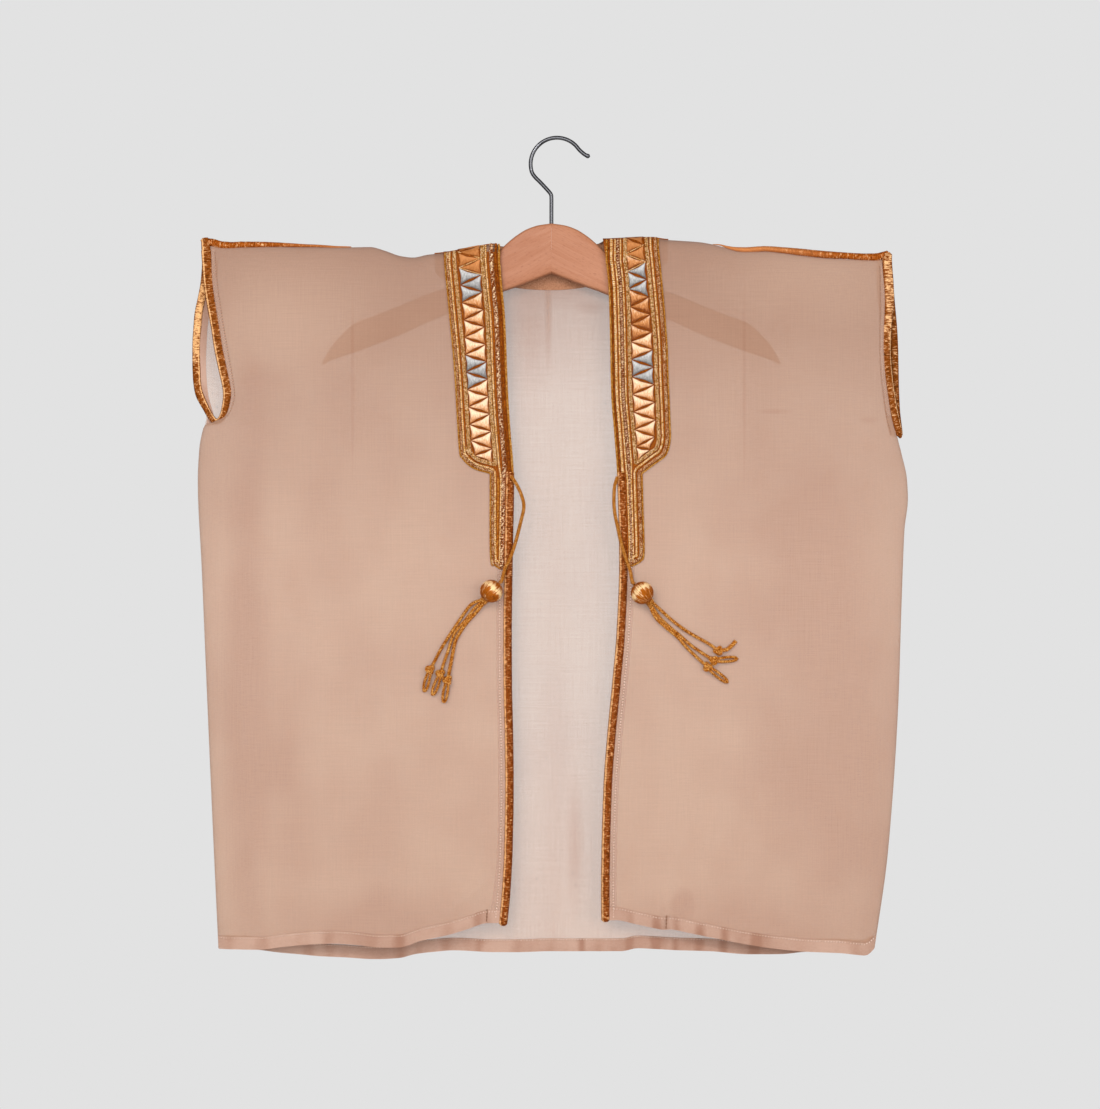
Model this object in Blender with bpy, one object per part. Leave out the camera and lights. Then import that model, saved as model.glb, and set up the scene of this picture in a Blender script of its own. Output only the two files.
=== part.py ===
"""A child's sheer bisht cloak, hung on a small wooden hanger.

Frame: millimetres in the tables, metres in the meshes. +Z is up, the front faces -Y, and +X is
the right hand of someone who looks at the front. The origin is the spot under the top of the
hook where a rod carries the hanger.
"""
import math
from collections import namedtuple

import bmesh
import bpy
from mathutils import Vector
from mathutils.bvhtree import BVHTree

MM = 0.001

# ---- driving sizes, in millimetres ----
GAP = 0.3                # left between pieces that touch
WALL = 1.0               # wall of the cloth
HALF_ROOM = 7.2          # half the room inside the cloak, front to back
SEAM_ROOM = 0.15         # half the room where the front meets the back
SIDE_ROUND = 62.0        # width over which the cloth comes away from a side seam
CUFF_ROOM = 3.6          # half the parting of the open sleeve edge
HEM_WIDTH = 8.8          # turned hem
HEM_RISE = 0.8           # how far the turned hem stands out
BINDING_THICK = 1.8      # gold binding round the sleeve opening
PIPING = 6.3             # thick gold cord down each front edge
SHOULDER_CORD = 4.2      # thinner gold cord on the shoulder
SHOULDER_SEAT = 0.6      # its clearance over the facets of the shoulder
TIE_CORD = 2.4
BEAD_RADIUS = 8.0
STRAND = 2.4             # one hanging strand of a tassel
KNOT_RADIUS = 2.8
LOOP_STRAND = 1.9
LOOP_WIDTH = 3.4
COLLAR_RADIUS = 3.6
COLLAR_THICK = 1.5
WOOD_THICK = 11.0
WOOD_EDGE = 2.5          # rounding of the wood's edges
WIRE = 2.8
HOOK_RADIUS = 18.5       # to the middle of the wire
HANGER_AXIS = -3.9       # where the hook's stem and the mitre joint stand
BRAID_PERIOD = 12.1      # one pair of triangles in the braid
EDGE_TUCK = 0.6          # the wall's outer face leans out past its edge by about this much

# ---- edges of the cloth ----
Edge = namedtuple("Edge", "z front back")
LEFT_SIDE = [Edge(-70.8, -243.3, -243.3), Edge(-86.2, -241.5, -242.6), Edge(-102.3, -239.1, -243.3),
             Edge(-133.8, -233.5, -247.1), Edge(-154.8, -230.3, -248.5), Edge(-175.8, -227.2, -247.5),
             Edge(-187.0, -227.9, -243.3), Edge(-193.3, -230.3, -239.8), Edge(-197.5, -234.2, -236.3),
             Edge(-200.5, -239.5, -239.5), Edge(-203.0, -246.5, -246.5), Edge(-217.8, -250.6, -250.6),
             Edge(-238.8, -251.0, -251.0), Edge(-301.8, -247.8, -247.8), Edge(-392.8, -244.7, -244.7),
             Edge(-497.8, -240.5, -240.5), Edge(-570.0, -237.3, -237.3)]
RIGHT_SIDE = [Edge(-70.8, 227.9, 227.9), Edge(-102.3, 228.2, 228.2), Edge(-133.8, 228.4, 230.6),
              Edge(-154.8, 229.4, 232.2), Edge(-175.8, 231.2, 232.8), Edge(-193.3, 233.6, 233.8),
              Edge(-207.0, 237.0, 237.0), Edge(-210.0, 239.0, 239.0), Edge(-217.8, 241.2, 241.2),
              Edge(-238.8, 244.7, 244.7), Edge(-301.8, 243.6, 243.6), Edge(-392.8, 239.4, 239.4),
              Edge(-497.8, 232.2, 232.2), Edge(-570.0, 222.6, 222.6)]

# front opening: the neck-side edge of each front, to the outside of its braid or piping
Opening = namedtuple("Opening", "z left right")
OPENING = [Opening(-70.8, -40.6, 31.5), Opening(-103.7, -37.8, 35.6), Opening(-125.4, -35.8, 36.4),
           Opening(-180.0, -33.6, 37.6), Opening(-204.5, -32.0, 39.5), Opening(-236.0, -29.8, 41.7),
           Opening(-297.0, -30.8, 43.3), Opening(-345.9, -31.4, 41.4), Opening(-379.5, -31.3, 38.5),
           Opening(-420.8, -30.4, 34.6), Opening(-453.0, -30.1, 32.3), Opening(-495.7, -30.8, 31.0),
           Opening(-527.9, -32.5, 30.6), Opening(-550.0, -34.7, 30.8)]

# top edge of the cloth, and how softly it rounds over; no rounding along the free neckline
Top = namedtuple("Top", "x z rounding")
TOP_LEFT = [Top(-250.0, -72.5, 30), Top(-228.9, -75.0, 34), Top(-179.9, -76.4, 34), Top(-144.9, -76.4, 32),
            Top(-129.5, -75.7, 28), Top(-120.4, -78.2, 24), Top(-109.9, -82.0, 20), Top(-100.8, -83.4, 16),
            Top(-88.9, -82.3, 12), Top(-79.8, -81.5, 9), Top(-60.9, -78.5, 5), Top(-44.0, -75.6, 3)]
NECKLINE = [Top(-41.2, -74.2, 0), Top(-22.0, -75.5, 0), Top(-4.0, -76.0, 0), Top(14.0, -75.0, 0),
            Top(31.7, -72.8, 0)]
TOP_RIGHT = [Top(34.5, -73.4, 3), Top(50.0, -72.6, 5), Top(70.0, -71.8, 9), Top(86.1, -71.4, 14),
             Top(100.0, -72.2, 20), Top(111.3, -74.5, 24), Top(128.1, -78.0, 28), Top(146.3, -79.2, 32),
             Top(195.3, -82.7, 34), Top(212.1, -83.8, 34), Top(234.0, -83.5, 30)]

# lower edges of the cloth
Hem = namedtuple("Hem", "x z")
HEM_LEFT = [Hem(-237.3, -567.1), Hem(-209.3, -567.1), Hem(-191.8, -565.3), Hem(-156.8, -562.0),
            Hem(-110.6, -564.1), Hem(-95.9, -560.8), Hem(-62.3, -552.7), Hem(-48.3, -548.8),
            Hem(-34.3, -549.6)]
HEM_RIGHT = [Hem(30.8, -547.5), Hem(41.3, -546.8), Hem(55.3, -550.8), Hem(72.1, -553.1),
             Hem(102.9, -559.9), Hem(136.5, -563.2), Hem(176.4, -568.8), Hem(210.0, -571.3),
             Hem(222.6, -567.1)]
HEM_BACK = [Hem(-237.3, -567.1), Hem(-209.3, -567.1), Hem(-156.8, -571.7), Hem(-112.0, -573.2),
            Hem(-84.0, -568.8), Hem(1.4, -568.2), Hem(49.0, -568.0), Hem(57.4, -566.4),
            Hem(102.9, -568.1), Hem(138.6, -570.5), Hem(203.0, -568.3), Hem(222.6, -567.1)]

# largest creases: a soft ridge from its upper to its lower end, standing outwards
Fold = namedtuple("Fold", "panel x_top z_top x_low z_low height width")
FOLDS = [Fold("front_left", -141.6, -84, -141.6, -239, 0.9, 9.0),
         Fold("front_left", -71.0, -538, -41.0, -508, 1.0, 7.0),
         Fold("front_left", -215.0, -470, -205.0, -560, 1.2, 14.0),
         Fold("front_right", 129.5, -84, 129.5, -239, 0.9, 9.0),
         Fold("front_right", 84.0, -520, 74.0, -553, 1.2, 7.0),
         Fold("front_right", 200.0, -440, 190.0, -560, 1.2, 16.0),
         Fold("back", 18.2, -400, 17.0, -565, 1.3, 14.0),
         Fold("back", -5.6, -535, -5.6, -565, 0.8, 8.0),
         Fold("back", -120.0, -420, -128.0, -565, 1.4, 18.0),
         Fold("back", 120.0, -380, 128.0, -565, 1.4, 18.0)]

# heights of the level rows of points, between the shoulder and the hem
SHOULDER_LEVEL = -112.0
HEM_LEVEL = -515.0
LEVELS_LEFT = [-128, -148, -166, -182, -190, -195, -198.5, -201, -203.5, -210, -222, -229.5, -234,
               -270, -310, -355, -400, -445, -485]
LEVELS_RIGHT = [-128, -148, -168, -188, -201, -207, -210, -219, -229.5, -234,
                -270, -310, -355, -400, -445, -485]
LEVELS_BACK = [-130, -150, -168, -184, -195, -200, -205, -214, -236, -275, -320, -365, -410, -460]
TOP_SHARES = [0.0, 0.035, 0.1, 0.22, 0.42, 0.68, 1.0]
COLUMNS_FRONT = [0.0, 0.025, 0.07, 0.13, 0.21, 0.31, 0.42, 0.53, 0.64, 0.74, 0.83, 0.92, 1.0]
COLUMNS_BACK = [0.0, 0.014, 0.042, 0.085, 0.14, 0.21, 0.28, 0.34, 0.385, 0.4233, 0.4295, 0.465,
                0.505, 0.545, 0.583, 0.589, 0.63, 0.675, 0.735, 0.8, 0.86, 0.915, 0.958, 0.986, 1.0]
NECK_COLUMNS = range(7, 18)  # columns of the back that the neck braid covers

# the braid's outer edge, by height; its neck-side edge is the opening's
BraidEdge = namedtuple("BraidEdge", "z outer")
BRAID_LEFT = [BraidEdge(-79.9, -79.8), BraidEdge(-122.6, -75.6), BraidEdge(-161.8, -72.1),
              BraidEdge(-215.7, -68.8), BraidEdge(-224.1, -66.5), BraidEdge(-231.1, -58.8),
              BraidEdge(-234.8, -47.2), BraidEdge(-292.7, -46.9), BraidEdge(-299.0, -43.5),
              BraidEdge(-301.8, -39.5)]
BRAID_RIGHT = [BraidEdge(-70.0, 70.3), BraidEdge(-91.8, 72.8), BraidEdge(-139.4, 77.0),
               BraidEdge(-165.0, 78.0), BraidEdge(-198.9, 79.4), BraidEdge(-212.2, 79.4),
               BraidEdge(-222.0, 76.3), BraidEdge(-227.6, 69.3), BraidEdge(-234.8, 59.9),
               BraidEdge(-260.5, 60.6), BraidEdge(-290.0, 61.3), BraidEdge(-296.0, 59.0),
               BraidEdge(-299.7, 52.5)]
BRAID_WIDE_END = -234.9      # below this only the narrow braid goes on, beside the piping
BRAID_TOP_LEVEL = -97.0
BRAID_MIDDLE = 20.0          # from the braid's outer edge to its middle, at the shoulder
SHOULDER_ROWS = 5            # rows of points that the braid shares with the cloth's top
# across the braid from the neck side: share of the width, and height in the wide and narrow parts
Course = namedtuple("Course", "share height narrow")
COURSES = [Course(0.0, 0.9, 0.9), Course(0.035, 1.9, 1.2), Course(0.08, 1.0, 1.4), Course(0.14, 2.6, 1.7),
           Course(0.2, 1.1, 1.4), Course(0.27, 1.7, 1.1), Course(0.37, 1.2, 1.1), Course(0.565, 1.7, 1.2),
           Course(0.76, 1.2, 1.2), Course(0.86, 1.7, 1.5), Course(0.93, 1.3, 1.8), Course(1.0, 0.9, 1.0)]
FIELD_COURSE = 7             # the row of padded triangles
FIELD_SWAY = 0.075           # how far the triangles' peaks lie to either side
FIELD_PAD = 0.6              # how much higher a peak stands

# gold binding of each sleeve opening: down the front edge, round the end, up the back edge
Binding = namedtuple("Binding", "x z y width")
CUFF_LEFT = [Binding(-246.4, -70.9, -1.3, 6.0), Binding(-244.8, -86.2, -2.4, 6.0),
             Binding(-242.4, -102.3, -3.3, 6.0), Binding(-239.6, -119.8, -3.8, 6.0),
             Binding(-236.8, -137.0, -4.1, 6.0), Binding(-233.7, -154.8, -4.1, 6.0),
             Binding(-230.9, -172.0, -3.8, 6.0), Binding(-230.9, -183.0, -3.3, 5.8),
             Binding(-233.6, -191.0, -2.5, 5.0), Binding(-237.6, -195.6, -1.6, 3.6),
             Binding(-242.0, -196.6, 0.0, 3.2), Binding(-245.8, -193.0, 1.6, 3.8),
             Binding(-248.4, -185.0, 2.8, 5.2), Binding(-251.0, -172.0, 3.7, 5.4),
             Binding(-252.0, -157.0, 4.1, 5.4), Binding(-251.2, -139.0, 4.1, 5.4),
             Binding(-249.2, -121.0, 3.8, 5.6), Binding(-246.8, -104.0, 3.3, 5.8),
             Binding(-246.0, -87.0, 2.4, 6.0), Binding(-246.4, -72.4, 1.3, 6.0)]
CUFF_RIGHT = [Binding(231.3, -79.0, -1.3, 6.0), Binding(231.5, -92.0, -2.8, 6.0),
              Binding(231.7, -108.0, -3.7, 6.0), Binding(232.0, -124.0, -4.1, 6.0),
              Binding(231.9, -140.0, -4.2, 5.6), Binding(232.7, -158.0, -4.1, 5.4),
              Binding(234.4, -175.0, -3.6, 5.2), Binding(236.4, -191.0, -2.6, 5.0),
              Binding(239.0, -201.0, -1.8, 4.8), Binding(240.4, -206.0, -1.4, 4.6),
              Binding(240.9, -208.2, 0.0, 4.4), Binding(240.4, -206.0, 1.4, 4.6),
              Binding(239.0, -200.0, 2.0, 4.8), Binding(237.2, -190.0, 2.8, 5.0),
              Binding(236.0, -175.0, 3.6, 5.2), Binding(235.7, -158.0, 4.1, 5.4),
              Binding(234.6, -140.0, 4.2, 5.6), Binding(232.8, -122.0, 4.1, 5.8),
              Binding(231.8, -104.0, 3.6, 6.0), Binding(231.4, -88.0, 2.5, 6.0),
              Binding(231.3, -80.4, 1.3, 6.0)]

# free cords: lift is how far a cord's middle stands before the cloth's outer face
Route = namedtuple("Route", "x z lift")
TIE_LEFT = [Route(-31.9, -236.3, 4.2), Route(-28.7, -241.3, 3.6), Route(-25.5, -247.7, 2.4),
            Route(-23.3, -254.9, 1.5), Route(-23.3, -259.8, 1.4), Route(-24.8, -266.1, 1.6),
            Route(-26.9, -274.8, 2.5), Route(-29.4, -284.1, 3.6), Route(-32.6, -293.4, 4.3),
            Route(-36.2, -300.4, 4.6), Route(-38.7, -306.4, 5.2), Route(-40.2, -310.8, 5.8)]
TIE_RIGHT = [Route(42.0, -237.0, 3.8), Route(40.3, -243.0, 2.9), Route(39.7, -253.4, 2.5),
             Route(40.3, -262.0, 2.7), Route(42.0, -270.6, 3.5), Route(44.1, -280.6, 4.3),
             Route(46.9, -290.6, 4.6), Route(49.6, -298.3, 4.7), Route(52.2, -306.0, 5.2),
             Route(54.1, -311.7, 5.8)]
BEAD_LEFT = Route(-45.7, -316.5, GAP + BEAD_RADIUS)
BEAD_RIGHT = Route(59.2, -317.7, GAP + BEAD_RADIUS)

# strands of each tassel: the last point is its knot; then the tip of its loop or tail
Strand = namedtuple("Strand", "route tip looped")
TASSEL_LEFT = [
    Strand([Route(-52.6, -322.4, 4.6), Route(-59.0, -325.3, 2.6), Route(-63.7, -330.5, 1.7),
            Route(-69.7, -339.4, 1.7), Route(-75.0, -347.3, 1.7), Route(-81.2, -357.4, 1.8),
            Route(-85.1, -364.8, 2.3), Route(-88.5, -371.2, 3.1)], Route(-92.6, -386.5, 1.5), True),
    Strand([Route(-51.4, -323.6, 4.6), Route(-57.7, -328.7, 2.6), Route(-63.7, -336.6, 1.7),
            Route(-69.7, -343.3, 1.7), Route(-73.5, -350.1, 1.7), Route(-75.7, -357.4, 1.7),
            Route(-78.8, -366.2, 2.2), Route(-81.3, -374.2, 3.1)], Route(-86.8, -389.0, 1.5), True),
    Strand([Route(-50.1, -325.0, 4.6), Route(-56.3, -331.2, 2.6), Route(-62.6, -338.1, 1.7),
            Route(-67.2, -344.5, 1.7), Route(-70.9, -351.4, 1.7), Route(-72.7, -359.5, 1.7),
            Route(-74.4, -368.8, 2.2), Route(-76.4, -378.6, 3.1)], Route(-79.0, -394.0, 1.5), True)]
TASSEL_RIGHT = [
    Strand([Route(66.4, -323.0, 4.6), Route(73.2, -330.6, 2.6), Route(80.1, -336.8, 1.7),
            Route(88.7, -343.3, 1.7), Route(98.0, -348.9, 1.7), Route(105.8, -353.3, 2.2),
            Route(112.4, -358.1, 3.1)], Route(124.8, -351.4, 1.5), False),
    Strand([Route(64.8, -324.6, 4.6), Route(70.8, -334.0, 2.6), Route(78.7, -341.7, 1.7),
            Route(85.8, -347.6, 1.7), Route(93.0, -354.0, 1.7), Route(100.1, -359.0, 2.2),
            Route(109.2, -364.8, 3.1)], Route(125.6, -363.7, 1.5), True),
    Strand([Route(63.4, -326.0, 4.6), Route(68.6, -334.7, 2.6), Route(75.8, -341.7, 1.7),
            Route(84.4, -349.0, 1.7), Route(90.8, -356.2, 1.7), Route(97.3, -362.5, 2.2),
            Route(104.9, -369.3, 3.1)], Route(118.9, -380.0, 1.5), True)]

# hanger: edges of the wood by distance from its axis
Wood = namedtuple("Wood", "out top low")
WOOD = [Wood(0.0, -58.9, -93.9), Wood(9.0, -60.2, -97.4), Wood(17.0, -62.9, -100.5),
        Wood(25.0, -67.8, -103.6), Wood(33.0, -74.6, -106.3), Wood(37.0, -78.6, -108.0),
        Wood(43.0, -84.0, -110.4), Wood(52.0, -90.6, -113.9), Wood(62.0, -97.0, -118.0),
        Wood(75.0, -104.2, -123.2), Wood(88.0, -109.0, -128.7), Wood(104.0, -115.6, -136.0),
        Wood(121.0, -122.5, -142.8), Wood(138.0, -129.0, -149.2), Wood(148.0, -138.0, -152.5),
        Wood(155.0, -146.5, -155.0), Wood(160.3, -156.4, -157.6)]

# colour, roughness and metallic value of each finish
Finish = namedtuple("Finish", "colour roughness metallic")
VOILE = Finish((0.62, 0.40, 0.30, 1.0), 0.8, 0.0)
GOLD_BRAID = Finish((0.62, 0.30, 0.08, 1.0), 0.35, 0.8)
GOLD_CORD = Finish((0.66, 0.34, 0.10, 1.0), 0.35, 0.8)
GOLD_BINDING = Finish((0.55, 0.30, 0.10, 1.0), 0.45, 0.7)
BEECH = Finish((0.60, 0.27, 0.14, 1.0), 0.5, 0.0)
STEEL = Finish((0.55, 0.55, 0.56, 1.0), 0.2, 1.0)


# ---- reading the tables ----
class Profile:
    """A smooth, never overshooting curve through one column of a table, read by another column."""

    def __init__(self, table, key, column):
        rows = sorted(table, key=lambda row: getattr(row, key))
        self.at = [getattr(row, key) for row in rows]
        self.value = [getattr(row, column) for row in rows]
        rises = [(self.value[i + 1] - self.value[i]) / (self.at[i + 1] - self.at[i])
                 for i in range(len(rows) - 1)]
        inner = [0.0 if a * b <= 0 else 2 * a * b / (a + b) for a, b in zip(rises, rises[1:])]
        self.slope = [rises[0]] + inner + [rises[-1]]

    def __call__(self, at):
        at = min(max(at, self.at[0]), self.at[-1])
        i = 0
        while i < len(self.at) - 2 and at > self.at[i + 1]:
            i += 1
        span = self.at[i + 1] - self.at[i]
        t = (at - self.at[i]) / span
        return ((2 * t ** 3 - 3 * t ** 2 + 1) * self.value[i] + (t ** 3 - 2 * t ** 2 + t) * span * self.slope[i]
                + (3 * t ** 2 - 2 * t ** 3) * self.value[i + 1] + (t ** 3 - t ** 2) * span * self.slope[i + 1])


def round_in(share):
    """0 at the edge, 1 from a share of 1 on, as a quarter of an ellipse."""
    share = min(max(share, 0.0), 1.0)
    return math.sqrt(1 - (1 - share) ** 2)


opening_left = Profile(OPENING, "z", "left")
opening_right = Profile(OPENING, "z", "right")
cuff_end = {"left": -200.5, "right": -208.0}


def lip_inset(z):
    """How far a front's cloth stops short of the opening's edge: under the braid, then at the piping."""
    blend = min(max((-229.5 - z) / 4.5, 0.0), 1.0)
    return 1.0 + blend * (PIPING + GAP - 1.0)


class Panel:
    """A wall of cloth: where its edges run, how it stands off the middle plane, and its points."""

    def __init__(self, name, facing, left, right, top, hem, levels, columns, seams):
        self.name, self.facing = name, facing
        self.left = lambda z: left(z) + (EDGE_TUCK if "left" in seams else 0.0)
        self.right = lambda z: right(z) - (EDGE_TUCK if "right" in seams else 0.0)
        self.top = Profile(top, "x", "z")
        self.rounding = Profile(top, "x", "rounding")
        self.hem = Profile(hem, "x", "z")
        self.levels, self.columns, self.seams = levels, columns, seams
        self.folds = [fold for fold in FOLDS if fold.panel == name]

    def edge_room(self, seam, z):
        """Half the room at a side: closed along the seam, parted along the sleeve opening."""
        share = (z + 72) / (cuff_end[seam] + 72)
        if not 0 < share < 1:
            return SEAM_ROOM
        return SEAM_ROOM + (CUFF_ROOM - SEAM_ROOM) * math.sin(math.pi * share) ** 0.7

    def room(self, x, z):
        room = HALF_ROOM
        for seam in self.seams:
            inward = x - self.left(z) if seam == "left" else self.right(z) - x
            edge = self.edge_room(seam, z)
            room = min(room, edge + (HALF_ROOM - edge) * round_in(inward / SIDE_ROUND))
        rounding = self.rounding(x)
        if rounding > 0.5:
            room = SEAM_ROOM + (room - SEAM_ROOM) * round_in((self.top(x) - WALL - z) / rounding)
        return room + sum(self.crease(fold, x, z) for fold in self.folds)

    def crease(self, fold, x, z):
        """Height of a soft ridge, fading at its ends."""
        run = Vector((fold.x_low - fold.x_top, fold.z_low - fold.z_top))
        away = Vector((x - fold.x_top, z - fold.z_top))
        along = away.dot(run) / run.length_squared
        if not 0 < along < 1:
            return 0.0
        aside = abs(away.x * run.y - away.y * run.x) / run.length
        return fold.height * math.sin(math.pi * along) * math.exp(-(aside / fold.width) ** 2)

    def spot(self, share, row):
        """Place on the wall's inner face for a share of the width and a row."""
        levels = [SHOULDER_LEVEL] + self.levels + [HEM_LEVEL]
        z = levels[min(max(row - len(TOP_SHARES) + 1, 0), len(levels) - 1)]
        for _ in range(6):
            x = self.left(z) + (self.right(z) - self.left(z)) * share
            if row < len(TOP_SHARES):
                top = self.top(x) - WALL
                z = top + (SHOULDER_LEVEL - top) * TOP_SHARES[row]
            elif row >= len(TOP_SHARES) + len(self.levels) + 1:
                z = self.hem(x) + self.hem_steps()[row - len(TOP_SHARES) - len(self.levels) - 1]
        return x, z

    def hem_steps(self):
        """Heights of the last rows above the hem's edge."""
        return [26.0, HEM_WIDTH + 0.5, HEM_WIDTH, HEM_WIDTH / 2, 0.0]

    def row_count(self):
        return len(TOP_SHARES) + len(self.levels) + 1 + len(self.hem_steps())

    def build(self):
        """Inner and outer grids of points, then the closed wall between them."""
        rows = self.row_count()
        inner = []
        for row in range(rows):
            places = [self.spot(share, row) for share in self.columns]
            inner.append([Vector((x, self.facing * self.room(x, z), z)) for x, z in places])
        outer = []
        for row in range(rows):
            thick = WALL + (HEM_RISE if row >= rows - 3 else 0.0)
            outer.append([inner[row][i] + grid_normal(inner, row, i, self.facing) * thick
                          for i in range(len(self.columns))])
        self.outer = outer
        self.outer_tree = tree_of(outer)
        return wall_between(self.name, inner, outer, self.facing, VOILE)

    def along_row(self, row, x):
        """Point and outward direction on the outer face where a row of points passes x."""
        points = self.outer[row]
        i = 0
        while i < len(points) - 2 and x > points[i + 1].x:
            i += 1
        share = min(max((x - points[i].x) / (points[i + 1].x - points[i].x), 0.0), 1.0)
        normals = [grid_normal(self.outer, row, k, self.facing) for k in (i, i + 1)]
        return points[i].lerp(points[i + 1], share), normals[0].lerp(normals[1], share)

    def surface(self, x, z):
        """Point and outward direction on the wall's outer face, at or just inside a place."""
        x = min(max(x, self.left(z) + 0.4), self.right(z) - 0.4)
        for dip in (0.0, 0.3, 0.7, 1.2, 2.0, 3.0):
            start = Vector((x, self.facing * 60, z - dip))
            hit, normal, _, _ = self.outer_tree.ray_cast(start, Vector((0, -self.facing, 0)))
            if hit is not None:
                if normal.y * self.facing < 0:
                    normal = -normal
                return hit, normal
        raise ValueError(f"nothing of {self.name} at {x:.1f}, {z:.1f}")


def grid_normal(grid, row, i, facing):
    """Outward direction at a grid point, from its neighbours."""
    across = grid[row][min(i + 1, len(grid[0]) - 1)] - grid[row][max(i - 1, 0)]
    down = grid[min(row + 1, len(grid) - 1)][i] - grid[max(row - 1, 0)][i]
    normal = across.cross(down).normalized()
    return normal if normal.y * facing > 0 else -normal


def grid_triangles(rows, columns):
    """Corner numbers of a grid's triangles, every square split the same way."""
    for row in range(rows - 1):
        for i in range(columns - 1):
            a = row * columns + i
            b, c, d = a + 1, a + columns + 1, a + columns
            yield a, b, c
            yield a, c, d


def tree_of(grid):
    points = [point for row in grid for point in row]
    return BVHTree.FromPolygons(points, list(grid_triangles(len(grid), len(grid[0]))))


# ---- making objects ----
materials = {}


def finish_material(finish):
    if finish not in materials:
        material = bpy.data.materials.new(f"finish_{len(materials) + 1}")
        material.use_nodes = True
        shader = material.node_tree.nodes["Principled BSDF"]
        shader.inputs["Base Color"].default_value = finish.colour
        shader.inputs["Roughness"].default_value = finish.roughness
        shader.inputs["Metallic"].default_value = finish.metallic
        materials[finish] = material
    return materials[finish]


def add_object(name, points, faces, finish):
    """A closed body from points in millimetres, with its faces turned outwards."""
    mesh = bpy.data.meshes.new(name)
    mesh.from_pydata([Vector(point) * MM for point in points], [], faces)
    body = bmesh.new()
    body.from_mesh(mesh)
    bmesh.ops.recalc_face_normals(body, faces=body.faces)
    body.to_mesh(mesh)
    body.free()
    mesh.materials.append(finish_material(finish))
    mesh.shade_smooth()
    mesh.set_sharp_from_angle(angle=math.radians(50))
    piece = bpy.data.objects.new(name, mesh)
    bpy.context.collection.objects.link(piece)
    return piece


def wall_between(name, inner, outer, facing, finish):
    """Join two grids of the same size into one closed wall."""
    rows, columns = len(inner), len(inner[0])
    count = rows * columns
    points = [point for grid in (inner, outer) for row in grid for point in row]
    faces = [(c, b, a) for a, b, c in grid_triangles(rows, columns)]
    faces += [(a + count, b + count, c + count) for a, b, c in grid_triangles(rows, columns)]
    rim = [i for i in range(columns)]
    rim += [row * columns + columns - 1 for row in range(1, rows)]
    rim += [(rows - 1) * columns + i for i in range(columns - 2, -1, -1)]
    rim += [row * columns for row in range(rows - 2, 0, -1)]
    for a, b in zip(rim, rim[1:] + rim[:1]):
        faces.append((a, b, b + count))
        faces.append((a, b + count, a + count))
    return add_object(name, points, faces, finish)


def add_tube(name, route, diameter, finish, resolution=2, radii=None):
    """A round cord or wire along points in millimetres."""
    curve = bpy.data.curves.new(name, "CURVE")
    curve.dimensions = "3D"
    curve.bevel_depth = diameter / 2 * MM
    curve.bevel_resolution = resolution
    curve.use_fill_caps = True
    spline = curve.splines.new("POLY")
    spline.points.add(len(route) - 1)
    for i, point in enumerate(route):
        spline.points[i].co = (*(Vector(point) * MM), 1.0)
        spline.points[i].radius = radii[i] if radii else 1.0
    curve.materials.append(finish_material(finish))
    tube = bpy.data.objects.new(name, curve)
    bpy.context.collection.objects.link(tube)
    return tube


def smooth_route(points, spacing):
    """Points about a spacing apart on a smooth curve through the given ones."""
    points = [Vector(point) for point in points]
    ends = [points[0] * 2 - points[1]] + points + [points[-1] * 2 - points[-2]]
    route = []
    for before, start, stop, after in zip(ends, ends[1:], ends[2:], ends[3:]):
        steps = max(1, round((stop - start).length / spacing))
        for i in range(steps):
            t = i / steps
            route.append(0.5 * (2 * start + (stop - before) * t
                                + (2 * before - 5 * start + 4 * stop - after) * t ** 2
                                + (3 * start - before - 3 * stop + after) * t ** 3))
    return route + [points[-1]]


# ---- the pieces ----
def make_panels():
    left_front = Profile(LEFT_SIDE, "z", "front")
    left_back = Profile(LEFT_SIDE, "z", "back")
    right_front = Profile(RIGHT_SIDE, "z", "front")
    right_back = Profile(RIGHT_SIDE, "z", "back")
    panels = {
        "front_left": Panel("front_left", -1, left_front, lambda z: opening_left(z) - lip_inset(z),
                            TOP_LEFT, HEM_LEFT, LEVELS_LEFT, COLUMNS_FRONT, ["left"]),
        "front_right": Panel("front_right", -1, lambda z: opening_right(z) + lip_inset(z), right_front,
                             TOP_RIGHT, HEM_RIGHT, LEVELS_RIGHT,
                             [1 - share for share in reversed(COLUMNS_FRONT)], ["right"]),
        "back": Panel("back", 1, left_back, right_back, TOP_LEFT + NECKLINE + TOP_RIGHT, HEM_BACK,
                      LEVELS_BACK, COLUMNS_BACK, ["left", "right"])}
    for panel in panels.values():
        panel.build()
    return panels


def braid_levels(low_end):
    """Heights of the braid's rows: one for each peak of the triangles, then the narrow end."""
    levels = []
    z = BRAID_TOP_LEVEL
    while z > -228:
        levels.append(z)
        z -= BRAID_PERIOD / 2
    return levels + [-229.5, -232.4, -234.7, -235.2, -250, -265, -280, -292, -297, low_end + 1.0]


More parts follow.
